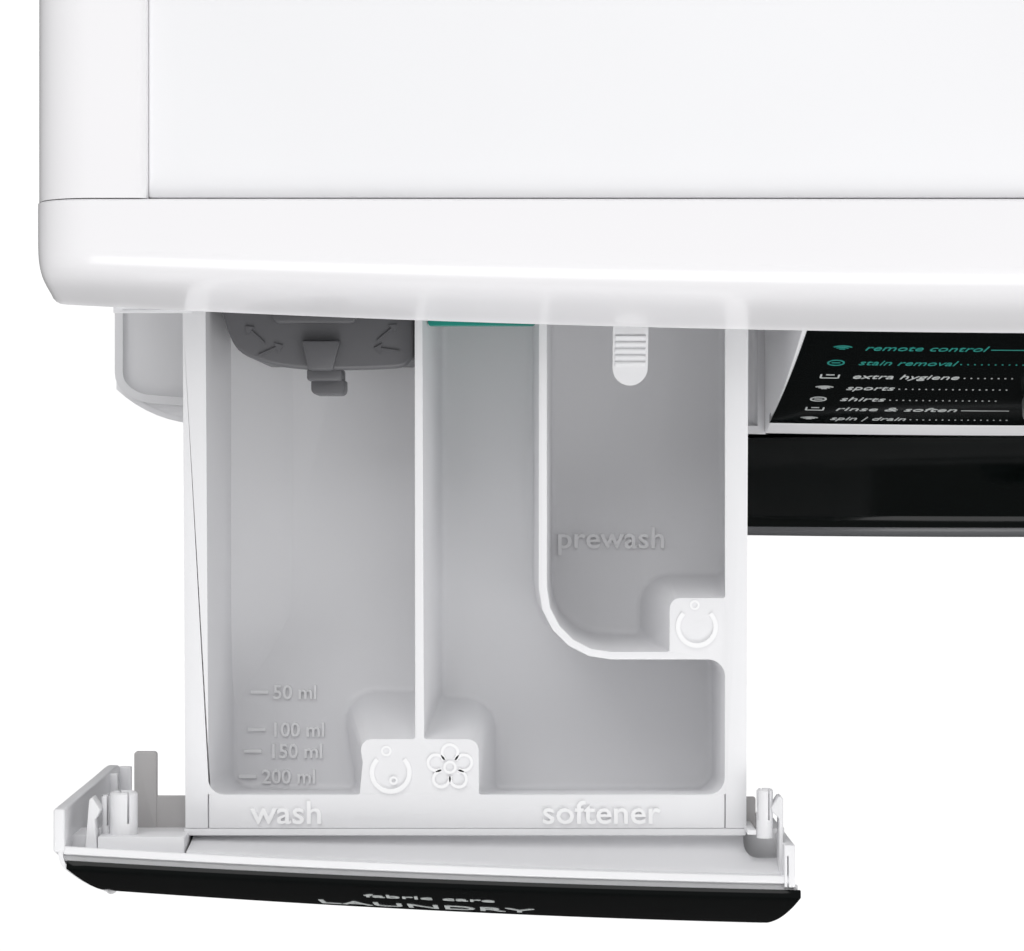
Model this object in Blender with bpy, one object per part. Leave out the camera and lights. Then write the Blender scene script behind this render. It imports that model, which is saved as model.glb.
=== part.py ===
"""Front load washing machine, built from its separate pieces.

Run with: blender --background --python part.py

The design is written in millimetres. x is measured from the machine's middle plane, y from the
front panel's face at that plane (negative towards the user) and z from the floor. put() turns a
design point into Blender's metres and moves it to the part's own frame, whose origin lies on the
floor under the middle of the whole object with its drawer pulled out. +Z is up and -Y is the front.
"""

import math

import bmesh
import bpy
from mathutils import Matrix, Vector

MM = 0.001
GAP = 0.3

# Driving dimensions of the casing
HALF_WIDTH = 299.5
COVER_HALF_WIDTH = 300.0
HEIGHT = 850.0
COVER_UNDERSIDE = 815.3
BACK_Y = 545.0
WRAP_BACK_Y = 520.0
SHEET = 1.2
SEAM_Y = 20.0
BOW_RADIUS = 5600.0

# Control panel: a leaning, slightly domed surface
PANEL_TOP = 812.3
GLASS_LOW = 716.5
FASCIA_LOW = 698.0
FASCIA_TOP = 815.0
GLASS_THICKNESS = 2.5
GLASS_LEFT = -96.5
POCKET_BACK = 50.0
KNOB_X = 3.0
KNOB_Z = 757.0
BUTTON_X = 266.0

# Detergent drawer, pulled out by this much in the rest pose
DRAWER_OUT = 153.3
TRAY_LEFT = -265.5
TRAY_RIGHT = -110.7
TRAY_FRONT = -112.5
TRAY_REAR = 122.5
TRAY_BOTTOM = 736.0
TRAY_FLOOR = 739.0
RIM_FRONT = 796.5
RIM_REAR = 803.0

# Drum, tub and door share one axis
AXIS_Z = 430.0
DOOR_RADIUS = 240.0
DOOR_FRONT = -34.7
HINGE_X = -252.0
HINGE_Y = -8.0
PORTHOLE_RADIUS = 176.0
TUB_RADIUS = 268.0
DRUM_RADIUS = 245.0
PULLEY_Y = 466.0
PULLEY_WIDTH = 14.0
DRUM_PULLEY_RADIUS = 141.0
MOTOR_PULLEY_RADIUS = 10.4
MOTOR_Z = 98.0
SPRING_X = 284.0
BELT_THICKNESS = 3.2

# The origin lies midway between the drawer's front and the back cover
DRAWER_NOSE_Y = -156.1
Y_SHIFT = -(DRAWER_NOSE_Y + BACK_Y) / 2

RING = 28
MATERIALS = {}


# ---------------------------------------------------------------- helpers


def put(point):
    """The place in the part's frame, in metres, of a design point in millimetres."""
    return Vector((point[0], point[1] + Y_SHIFT, point[2])) * MM


def material(name, colour, roughness, metallic=0.0):
    """One Principled material, made once for each name."""
    if name not in MATERIALS:
        made = bpy.data.materials.new(name)
        made.use_nodes = True
        shader = made.node_tree.nodes["Principled BSDF"]
        shader.inputs["Base Color"].default_value = (*colour, 1.0)
        shader.inputs["Roughness"].default_value = roughness
        shader.inputs["Metallic"].default_value = metallic
        MATERIALS[name] = made
    return MATERIALS[name]


def solid(name, points, faces, look):
    """One object from design points, with its faces turned outwards."""
    shape = bmesh.new()
    corners = [shape.verts.new(put(point)) for point in points]
    for face in faces:
        shape.faces.new([corners[index] for index in face])
    bmesh.ops.remove_doubles(shape, verts=shape.verts, dist=1e-6)
    bmesh.ops.dissolve_degenerate(shape, edges=shape.edges, dist=1e-7)
    spare = [edge for edge in shape.edges if edge.is_wire]
    bmesh.ops.delete(shape, geom=spare, context="EDGES")
    bmesh.ops.recalc_face_normals(shape, faces=shape.faces)
    mesh = bpy.data.meshes.new(name)
    shape.to_mesh(mesh)
    shape.free()
    mesh.materials.append(look)
    made = bpy.data.objects.new(name, mesh)
    bpy.context.scene.collection.objects.link(made)
    return made


def loft(name, sections, look, ring=False):
    """A closed skin over outlines of equal length, capped at both ends unless it closes on itself."""
    count = len(sections[0])
    points = [point for section in sections for point in section]
    faces = []
    last = len(sections) if ring else len(sections) - 1
    for row in range(last):
        low, high = row * count, (row + 1) % len(sections) * count
        for step in range(count):
            after = (step + 1) % count
            faces.append((low + step, low + after, high + after, high + step))
    if not ring:
        faces.append(tuple(range(count)))
        faces.append(tuple(range(len(points) - count, len(points))))
    return solid(name, points, faces, look)


def prism(name, outline, low, high, look, along="Z"):
    """An outline drawn in the plane across one axis and pushed along that axis."""
    spots = {
        "X": lambda a, b, h: (h, a, b),
        "Y": lambda a, b, h: (a, h, b),
        "Z": lambda a, b, h: (a, b, h),
    }[along]
    return loft(name, [[spots(a, b, h) for a, b in outline] for h in (low, high)], look)


def box(name, low, high, look):
    """A rectangular block between two corners."""
    outline = [(low[0], low[1]), (high[0], low[1]), (high[0], high[1]), (low[0], high[1])]
    return prism(name, outline, low[2], high[2], look)


def turned(name, profile, base, look, direction=(0, 1, 0), segments=RING):
    """A closed profile of (radius, height) turned about a line through base."""
    turn = Vector((0, 0, 1)).rotation_difference(Vector(direction)).to_matrix()
    sections = []
    for step in range(segments):
        angle = 2 * math.pi * step / segments
        across = Vector((math.cos(angle), math.sin(angle), 0))
        sections.append(
            [Vector(base) + turn @ (across * r + Vector((0, 0, h))) for r, h in profile]
        )
    return loft(name, sections, look, ring=True)


def rod(name, start, end, radius, look, segments=16):
    """A plain round bar between two points."""
    direction = Vector(end) - Vector(start)
    profile = [(0, 0), (radius, 0), (radius, direction.length), (0, direction.length)]
    return turned(name, profile, start, look, direction, segments)


def wire(name, line, radius, look, detail=0):
    """A round wire or tube of constant radius along a line of points."""
    curve = bpy.data.curves.new(name, "CURVE")
    curve.dimensions = "3D"
    curve.bevel_depth = radius * MM
    curve.bevel_resolution = detail
    curve.use_fill_caps = True
    path = curve.splines.new("POLY")
    path.points.add(len(line) - 1)
    for spot, point in zip(path.points, line):
        spot.co = (*put(point), 1.0)
    curve.materials.append(look)
    made = bpy.data.objects.new(name, curve)
    bpy.context.scene.collection.objects.link(made)
    return made


def hose(name, route, radius, look):
    """A tube of constant radius on a smooth curve through the route's points."""
    return wire(name, smooth_path(route, 3), radius, look, 2)


def smooth_path(route, steps):
    """Points on a Catmull-Rom curve through the route."""
    spots = [Vector(p) for p in route]
    spots = [2 * spots[0] - spots[1], *spots, 2 * spots[-1] - spots[-2]]
    path = []
    for a, b, c, d in zip(spots, spots[1:], spots[2:], spots[3:]):
        for step in range(steps):
            t = step / steps
            path.append(
                0.5 * (2 * b + (c - a) * t + (2 * a - 5 * b + 4 * c - d) * t**2
                       + (3 * b - a - 3 * c + d) * t**3)
            )
    return [*path, spots[-2]]


def combine(target, helper, operation):
    """Adds a live Boolean and hides its second shape."""
    change = target.modifiers.new(helper.name, "BOOLEAN")
    change.operation = operation
    change.object = helper
    change.solver = "EXACT"
    helper.hide_render = True
    helper.display_type = "WIRE"
    return target


def cut(target, helper):
    """Removes the helper's shape from the target."""
    return combine(target, helper, "DIFFERENCE")


def weld(target, helper):
    """Makes the helper's shape one with the target."""
    return combine(target, helper, "UNION")


def pivot(obj, point):
    """Moves an object's origin onto its joint's axis, and leaves its shape where it is."""
    spot = put(point)
    obj.data.transform(Matrix.Translation(-spot))
    obj.location = spot
    return obj


def rounded(corners, radius, steps=4):
    """An outline whose corners are arcs: corners is a list of points, in order."""
    outline = []
    for index, corner in enumerate(corners):
        here = Vector(corner)
        before = (Vector(corners[index - 1]) - here).normalized()
        after = (Vector(corners[(index + 1) % len(corners)]) - here).normalized()
        half = before.angle(after) / 2
        reach = radius / math.tan(half)
        centre = here + (before + after).normalized() * radius / math.sin(half)
        start, end = here + before * reach - centre, here + after * reach - centre
        for step in range(steps + 1):
            outline.append(tuple(centre + start.slerp(end, step / steps).normalized() * radius))
    return outline


# ---------------------------------------------------------------- shared surfaces


def bow(x):
    """How far the machine's front falls back towards its sides, seen from above."""
    return x * x / (2 * BOW_RADIUS)


def panel_y(z):
    """Depth of the control panel's surface on the middle plane."""
    t = (812.5 - z) / 96.0
    return 24.9 - 29.8 * t + 5.5 * t * t


def panel_normal(z):
    """Outward direction of the control panel at a height."""
    lean = panel_y(z + 0.5) - panel_y(z - 0.5)
    return Vector((0, -1, lean)).normalized()


def spread(low, high, count):
    """Evenly spaced values from low to high."""
    return [low + (high - low) * step / count for step in range(count + 1)]


def panel_plate(name, x_range, z_range, skin, look, columns=8, rows=4):
    """A plate that follows the control panel; skin is its outer and inner depth behind the surface."""
    heights = spread(*z_range, rows)
    sections = []
    for x in spread(*x_range, columns):
        outer = [(x, panel_y(z) + bow(x) + skin[0], z) for z in heights]
        inner = [(x, panel_y(z) + bow(x) + skin[1], z) for z in reversed(heights)]
        sections.append(outer + inner)
    return loft(name, sections, look)


# ---------------------------------------------------------------- casing


def build_casing(white_steel, white_plastic, dark_plastic, rubber):
    """The steel wrap, front and back panels, base, kick plate, feet and the top cover."""
    inner = HALF_WIDTH - SHEET
    outline = [
        (-HALF_WIDTH, SEAM_Y + GAP), (-HALF_WIDTH, WRAP_BACK_Y), (HALF_WIDTH, WRAP_BACK_Y),
        (HALF_WIDTH, SEAM_Y + GAP), (inner, SEAM_Y + GAP), (inner, WRAP_BACK_Y - SHEET),
        (-inner, WRAP_BACK_Y - SHEET), (-inner, SEAM_Y + GAP),
    ]
    wrap = prism("cabinet_wrap", outline, 22, 812, white_steel)
    cut(wrap, box("cut_fascia_room", (-320, 0, FASCIA_LOW - 0.5), (320, 54, 830), white_steel))
    cut(wrap, box("cut_service", (-205, 500, 95), (205, 540, 700), white_steel))
    cut(wrap, rod("cut_valve", (-235, 500, 775), (-235, 540, 775), 14.5, white_steel))
    cut(wrap, rod("cut_gland", (240, 500, 120), (240, 540, 120), 9.5, white_steel))
    for side in (-1, 1):
        low, high = sorted((side * 274.6, side * (inner + 0.5)))
        name = "left" if side < 0 else "right"
        weld(wrap, box(f"spring_ledge_{name}", (low, 266, 774), (high, 290, 777), white_steel))

    panel = []
    for x in spread(-HALF_WIDTH, HALF_WIDTH, 12):
        panel.append((x, bow(x)))
    back = [(HALF_WIDTH, SEAM_Y), (inner, SEAM_Y)]
    back += [(x * inner / HALF_WIDTH, bow(x) + SHEET) for x in spread(HALF_WIDTH, -HALF_WIDTH, 12)]
    back += [(-inner, SEAM_Y), (-HALF_WIDTH, SEAM_Y)]
    front = prism("front_panel", panel + back, 112.6, 697.4, white_steel)
    cut(
        front,
        rod("cut_porthole", (0, -20, AXIS_Z), (0, 40, AXIS_Z), PORTHOLE_RADIUS, white_steel, RING),
    )
    cut(front, box("cut_hook_slot", (190, -20, 414), (212, 40, 446), white_steel))
    kick = prism("kick_plate", [(x, y + 1.5) for x, y in panel] + [
        (HALF_WIDTH, SEAM_Y), (HALF_WIDTH - 2.5, SEAM_Y), (HALF_WIDTH - 2.5, 14),
        (-HALF_WIDTH + 2.5, 14), (-HALF_WIDTH + 2.5, SEAM_Y), (-HALF_WIDTH, SEAM_Y),
    ], 22, 112, white_plastic)
    cut(kick, box("cut_kick_hollow", (-290, 6.5 + bow(290), 10), (290, 30, 109), white_plastic))
    cut(kick, box("cut_flap_hole", (160, -20, 38), (270, 40, 104), white_plastic))

    cover = box("back_cover", (-215, WRAP_BACK_Y + GAP, 85), (215, WRAP_BACK_Y + 1.5, 710), white_steel)
    weld(cover, box("back_cover_dome", (-190, WRAP_BACK_Y + 0.5, 110), (190, BACK_Y, 685), white_steel))
    cut(cover, box("cut_back_dome", (-188.8, 500, 111.2), (188.8, BACK_Y - SHEET, 683.8), white_steel))

    base = box("base_tray", (-296, 22, 20), (296, 516, 50), dark_plastic)
    cut(base, box("cut_base_tray", (-292, 26, 24), (292, 512, 60), dark_plastic))
    for side, x in (("left", -262), ("right", 262)):
        for end, y in (("front", 62), ("rear", 476)):
            cut(base, rod(f"cut_foot_{end}_{side}", (x, y, 10), (x, y, 30), 5.6, dark_plastic, 12))
            profile = [(0, 0), (17, 0), (19, 2), (19, 6), (10, 10), (10, 15), (5, 15), (5, 34), (0, 34)]
            turned(f"foot_{end}_{side}", profile, (x, y, 0), rubber, (0, 0, 1), 12)


def build_top_cover(white_plastic, white_board):
    """The worktop: a U frame, a bowed front trim and the board that lies between them."""
    corner = [(16 * (1 - math.cos(a)), 16 * math.sin(a)) for a in spread(0, math.pi / 2, 5)]
    rounding = [(dx, HEIGHT - 16 + dz) for dx, dz in corner]
    left = [(-COVER_HALF_WIDTH + dx, z) for dx, z in rounding]
    left += [
        (-271.0, HEIGHT), (-269.4, HEIGHT - 2), (-269.4, COVER_UNDERSIDE),
        (-COVER_HALF_WIDTH, COVER_UNDERSIDE),
    ]
    frame = prism("top_side_frame", left, 56.9, 535, white_plastic, "Y")
    weld(frame, prism("top_right_strip", [(-x, z) for x, z in left], 56.9, 535, white_plastic, "Y"))
    weld(frame, box("top_rear_strip", (-285, 505, COVER_UNDERSIDE), (285, 535, HEIGHT), white_plastic))
    box("top_board", (-269, 57.2, 832), (269, 504.6, HEIGHT - 4), white_board)

    nose = [
        (40.5, 850), (36.2, 848.9), (32.9, 846.2), (30.3, 842), (28.4, 836), (26.6, 827),
        (24.6, COVER_UNDERSIDE),
    ]
    sections = []
    for share in (-1, -0.995, -0.985, -0.965, *spread(-0.8, 0.8, 8), 0.965, 0.985, 0.995, 1):
        x = share * COVER_HALF_WIDTH
        inset = max(0.0, 10 - (COVER_HALF_WIDTH - abs(x)))
        shift = bow(x) + 10 - math.sqrt(100 - inset * inset)
        sections.append(
            [(x, 56.6, HEIGHT)] + [
                (x, min(y + shift, 56), z)
                for y, z in nose
            ] + [(x, 56.6, COVER_UNDERSIDE)],
        )
    trim = loft("top_front_trim", sections, white_plastic)
    for side in (-1, 1):
        low, high = sorted((side * 284.0, side * 310.0))
        centre = side * (COVER_HALF_WIDTH - 16)
        edge = [
            (low if side > 0 else high, HEIGHT - 16), (low if side > 0 else high, HEIGHT + 5),
            (side * 310.0, HEIGHT + 5), (side * 310.0, HEIGHT - 16),
        ]
        arc = [
            (centre + side * 16 * math.cos(a), HEIGHT - 16 + 16 * math.sin(a))
            for a in spread(0, math.pi / 2, 5)
        ]
        outline = arc + [(centre, HEIGHT + 5), (side * 310.0, HEIGHT + 5), (side * 310.0, HEIGHT - 16)]
        cut(
            trim,
            prism(
                f"cut_trim_edge_{'right' if side > 0 else 'left'}", outline, 0, 80, white_plastic,
                "Y",
            ),
        )


# ---------------------------------------------------------------- control panel


def build_controls(white_plastic, black_glass, knob_grey, board_green):
    """The white fascia with its drawer pocket, the glass, the knob, the button and the board."""
    fascia = panel_plate("fascia_housing", (-95, HALF_WIDTH), (710, 813.5), (2.9, 5.6), white_plastic)
    weld(
        fascia,
        panel_plate(
            "fascia_band", (-95, HALF_WIDTH), (FASCIA_LOW, GLASS_LOW - GAP), (0, 5.6),
            white_plastic, 8, 2,
        ),
    )
    xs = spread(-HALF_WIDTH, HALF_WIDTH, 12)
    rail = [(x, 23.4 + bow(x)) for x in xs] + [
        (HALF_WIDTH, POCKET_BACK + 2.5), (-HALF_WIDTH, POCKET_BACK + 2.5),
    ]
    weld(fascia, prism("fascia_rail", rail, 813, FASCIA_TOP, white_plastic))
    front = [(x, panel_y(FASCIA_LOW) + 3 + bow(x)) for x in xs]
    front[0] = (-HALF_WIDTH, front[0][1] + 7)
    front.insert(1, (-HALF_WIDTH + 2, front[1][1] + 4))
    front.insert(2, (-HALF_WIDTH + 7, front[2][1] + 1.5))
    shelf = front + [(HALF_WIDTH, POCKET_BACK + 2.5), (-HALF_WIDTH, POCKET_BACK + 2.5)]
    weld(fascia, prism("fascia_shelf", shelf, FASCIA_LOW, 700.5, white_plastic))
    weld(
        fascia,
        box(
            "fascia_pocket_back", (-HALF_WIDTH, POCKET_BACK, FASCIA_LOW),
            (-94, POCKET_BACK + 2.5, 814), white_plastic,
        ),
    )
    heights = spread(FASCIA_LOW, 814, 5)
    wall = [(panel_y(z) + 4, z) for z in heights] + [
        (POCKET_BACK + 2, 814), (POCKET_BACK + 2, FASCIA_LOW),
    ]
    weld(fascia, prism("fascia_partition", wall, -96.2, -93.7, white_plastic, "X"))
    end = [
        (panel_y(z) + bow(HALF_WIDTH) + 3.2, z)
        for z in heights
    ] + [(POCKET_BACK + 2, 814), (POCKET_BACK + 2, FASCIA_LOW)]
    weld(fascia, prism("fascia_end_wall", end, HALF_WIDTH - 2.5, HALF_WIDTH, white_plastic, "X"))
    cut(fascia, box("cut_drawer_mouth", (-274, 40, 720), (-102, 60, 811), white_plastic))

    glass = panel_plate(
        "control_glass", (GLASS_LEFT + 0.2, HALF_WIDTH - 0.3), (GLASS_LOW, PANEL_TOP),
        (0, GLASS_THICKNESS), black_glass, 8, 4,
    )
    normal = panel_normal(KNOB_Z)
    seat = Vector((KNOB_X, panel_y(KNOB_Z) + bow(KNOB_X), KNOB_Z))
    cut(glass, rod("cut_knob_glass", seat - normal * 20, seat + normal * 20, 4.4, black_glass, 12))
    cut(fascia, rod("cut_knob_fascia", seat - normal * 9, seat + normal * 9, 4.4, white_plastic, 12))
    profile = [
        (0, -8), (3.6, -8), (3.6, 0.5), (28, 0.5), (29, 1.5), (29, 6), (26, 7.5), (25, 17),
        (23, 20), (0, 20),
    ]
    knob = turned("program_knob", profile, seat, knob_grey, normal, 24)
    pivot(knob, seat)

    seat = Vector((BUTTON_X, panel_y(KNOB_Z) + bow(BUTTON_X), KNOB_Z))
    cut(glass, rod("cut_button", seat - normal * 9, seat + normal * 9, 9.6, black_glass, 20))
    profile = [(0, -0.9), (9, -0.9), (9, 1.4), (8, 2), (0, 2)]
    pivot(turned("start_button", profile, seat, knob_grey, normal, 20), seat)
    box("control_board", (30, 37, 725), (250, 48, 800), board_green)


# ---------------------------------------------------------------- detergent drawer


def drawer_y(forward):
    """Design depth of a point of the pulled-out drawer, from its distance in front of the lens line."""
    return -14.7 - forward


def build_drawer(white_plastic, black_glass, teal, flap_grey):
    """The tray with its three bins, its front, the siphon cap, the liquid flap and the release tab."""
    side = [
        (TRAY_FRONT, RIM_FRONT), (drawer_y(-45), RIM_REAR), (TRAY_REAR, RIM_REAR),
        (TRAY_REAR, TRAY_BOTTOM), (TRAY_FRONT + 6, TRAY_BOTTOM), (TRAY_FRONT, TRAY_BOTTOM + 8),
    ]
    tray = prism("drawer_tray", side, TRAY_LEFT, TRAY_RIGHT, white_plastic, "X")
    rear = TRAY_REAR - 6
    wash = [
        (-259, drawer_y(88.3)), (-217.3, drawer_y(88.3)), (-217.3, drawer_y(73)),
        (-201.9, drawer_y(73)), (-201.9, rear), (-259, rear),
    ]
    cut(tray, prism("cut_wash_bin", rounded(wash, 3, 2), TRAY_FLOOR, 820, white_plastic))
    soft = [
        (
            -184.6, drawer_y(88.3),
        ), (-116.6, drawer_y(88.3)), (-116.6, drawer_y(51)), (-148, drawer_y(51)),
        *[
            (-148 - 20 * math.sin(a), drawer_y(31 + 20 * math.cos(a)))
            for a in spread(0.35, math.pi / 2, 4)
        ],
        (-168, rear), (-199.6, rear), (-199.6, drawer_y(73)), (-184.6, drawer_y(73)),
    ]
    cut(tray, prism("cut_softener_bin", soft, TRAY_FLOOR, 820, white_plastic))
    pre = [
        (-132, drawer_y(48.9)), (-148, drawer_y(48.9)),
        *[
            (-148 - 17.7 * math.sin(a), drawer_y(31.2 + 17.7 * math.cos(a)))
            for a in spread(0.35, math.pi / 2, 4)
        ],
        (-165.7, rear), (-116.3, rear), (-116.3, drawer_y(33.7)), (-132, drawer_y(33.7)),
    ]
    cut(tray, prism("cut_prewash_bin", pre, TRAY_FLOOR, 820, white_plastic))

    frame = panel_plate(
        "drawer_front_frame", (-HALF_WIDTH + 2, -97.3), (701.2, PANEL_TOP), (2.9, 5.2),
        white_plastic, 6, 4,
    )
    weld(
        frame,
        panel_plate(
            "front_frame_band", (-HALF_WIDTH + 2, -97.3), (701.2, GLASS_LOW - GAP), (0, 5.2),
            white_plastic, 6, 1,
        ),
    )
    heights = spread(701.2, PANEL_TOP, 4)
    returns = (
        ("left", -HALF_WIDTH, -HALF_WIDTH + 2.4, 47.6),
        ("right", -99.3, -97.3, 37.6),
    )
    for name, low, high, root in returns:
        fall = bow(low if name == "left" else high)
        wall = [(panel_y(z) + fall + 3.5, z) for z in heights]
        wall += [(root, PANEL_TOP - 2), (root, 701.2)]
        weld(frame, prism(f"front_frame_{name}_return", wall, low, high, white_plastic, "X"))
    web = [(-HALF_WIDTH + 1, 29), (-98, 22.5), (-98, 40.2), (-HALF_WIDTH + 1, 40.2)]
    weld(frame, prism("front_frame_web", web, 786, 788.5, white_plastic))
    for mesh_owner in [frame, *[m.object for m in frame.modifiers]]:
        mesh_owner.location.y -= DRAWER_OUT * MM
    plate = panel_plate(
        "drawer_front_plate", (-HALF_WIDTH + 3.2, GLASS_LEFT - 0.2), (GLASS_LOW, PANEL_TOP),
        (0, GLASS_THICKNESS), black_glass, 6, 5,
    )
    plate.location.y -= DRAWER_OUT * MM

    cap = box("siphon_cap", (-198.4, 60, TRAY_FLOOR + 1), (-169.2, 112, 786), teal)
    weld(cap, box("siphon_cap_lid", (-198.8, 26.5, 786), (-168.8, 113, 789), teal))

    flap_y = 17.0
    flap = prism("liquid_flap", [
        (-257.5, 797), (-257.5, 760), *[
            (-230.5 - 27 * math.cos(a), 767 - 25 * math.sin(a))
            for a in spread(0.3, math.pi - 0.3, 6)
        ],
        (-203.5, 760), (-203.5, 797),
    ], flap_y, flap_y + 3, flap_grey, "Y")
    weld(flap, box("flap_tongue", (-236, flap_y - 14, 770), (-225, flap_y + 1, 797), flap_grey))
    pivot(flap, (-230, flap_y, 770))

    tab = prism(
        "release_tab", [(11.2, 783), (28, 797), (30, 799), (29, 796.5), (12, 781)], -147, -136.7,
        white_plastic, "X",
    )
    pivot(tab, (-142, 29, 798))


def build_dispenser(grey_plastic, valve_blue, hose_black):
    """The box that the drawer runs in, the water valve and the hoses that join them to the tub."""
    housing = box("dispenser_housing", (-272, 53, 722), (-104, 292, 809), grey_plastic)
    cut(housing, box("cut_housing", (-269.6, 40, 724.4), (-106.4, 289.6, 806.6), grey_plastic))
    valve = rod("inlet_valve", (-235, 470, 775), (-235, 543, 775), 13, valve_blue, 16)
    weld(valve, box("valve_body", (-255, 440, 752), (-215, 500, 798), valve_blue))
    hose(
        "dispenser_hose",
        [
            (-172, 170, 719), (-172, 171.5, 704), (-168, 176, 690), (-160, 178, 668),
            (-157, 178, 656),
        ],
        14, hose_black,
    )


# ---------------------------------------------------------------- drum and tub


def at_axis(y):
    """The drum's axis at a depth."""
    return (0, y, AXIS_Z)


def build_tub(tub_grey, concrete, motor_grey, steel, rubber):
    """Everything that hangs from the springs and stands on the dampers, apart from the drum."""
    r = TUB_RADIUS
    front = turned("tub_front", [
        (158, 62), (162, 62), (162, 85), (r - 6, 85), (r, 92), (r, 230), (r + 9, 230), (r + 9, 239.7),
        (r - 4, 239.7), (r - 4, 94), (r - 8, 89), (158, 89),
    ], at_axis(0), tub_grey)
    rear = turned("tub_rear", [
        (
            r - 4, 240.3,
        ), (r + 9, 240.3), (r + 9, 248), (r, 248), (r, 408), (r - 8, 416), (60, 422), (46, 462),
        (31, 462), (31, 408), (r - 12, 408), (r - 4, 400),
    ], at_axis(0), tub_grey)
    for side in (-1, 1):
        low, high = sorted((side * 134.0, side * 166.0))
        name = "left" if side < 0 else "right"
        weld(rear, box(f"tub_damper_lug_{name}", (low, 262, 186), (high, 292, 210), tub_grey))
        low, high = sorted((side * 250.0, side * 291.0))
        weld(rear, box(f"tub_spring_lug_{name}", (low, 268, 520), (high, 288, 566), tub_grey))
    for name, low in (("bearing_front", 412), ("bearing_rear", 444)):
        turned(
            name, [(15.3, low), (30.7, low), (30.7, low + 15), (15.3, low + 15)], at_axis(0), steel,
            segments=24,
        )
    turned(
        "front_weight", [(188, 46), (254, 46), (256, 50), (256, 84.4), (186, 84.4), (186, 48)],
        at_axis(0), concrete, segments=28,
    )
    weight = box("top_weight", (-88, 132, 706), (128, 222, 764), concrete)
    saddle = rod("cut_weight_saddle", (0, 120, AXIS_Z), (0, 240, AXIS_Z), r + 0.8, concrete, RING)
    cut(weight, saddle)

    motor = rod("motor_case", (0, 335, MOTOR_Z), (0, 452, MOTOR_Z), 54, motor_grey, 20)
    weld(motor, box("motor_bracket", (-30, 350, 130), (30, 395, 161.4), motor_grey))
    cut(motor, rod("cut_motor_bore", (0, 400, MOTOR_Z), (0, 460, MOTOR_Z), 7, motor_grey, 12))

    loop = [(-26, 405), (-26, 330), (-20, 318), (0, 313), (20, 318), (26, 330), (26, 405)]
    hose("heater", [(x, y - 9, 174.5) for x, y in loop], 3.5, steel)

    drum_centre, motor_centre = (0.0, AXIS_Z), (0.0, MOTOR_Z)
    belt = belt_band(DRUM_PULLEY_RADIUS + 1, MOTOR_PULLEY_RADIUS + GAP, drum_centre, motor_centre, 24)
    outer = belt_band(
        DRUM_PULLEY_RADIUS + BELT_THICKNESS + 0.7, MOTOR_PULLEY_RADIUS + BELT_THICKNESS,
        drum_centre, motor_centre, 24,
    )
    low, high = PULLEY_Y + 2, PULLEY_Y + PULLEY_WIDTH - 2
    sections = [
        [(a[0], low, a[1]), (b[0], low, b[1]), (b[0], high, b[1]), (a[0], high, a[1])]
        for a, b in zip(belt, outer)
    ]
    loft("drive_belt", sections, rubber, ring=True)


def belt_band(big, small, top, bottom, steps):
    """The line of a belt round two pulleys, one above the other."""
    slope = math.asin((big - small) / (top[1] - bottom[1]))
    line = []
    for angle in spread(-slope, math.pi + slope, steps):
        line.append((top[0] + big * math.cos(angle), top[1] + big * math.sin(angle)))
    for angle in spread(math.pi + slope, 2 * math.pi - slope, 10):
        line.append((bottom[0] + small * math.cos(angle), bottom[1] + small * math.sin(angle)))
    return line


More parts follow.
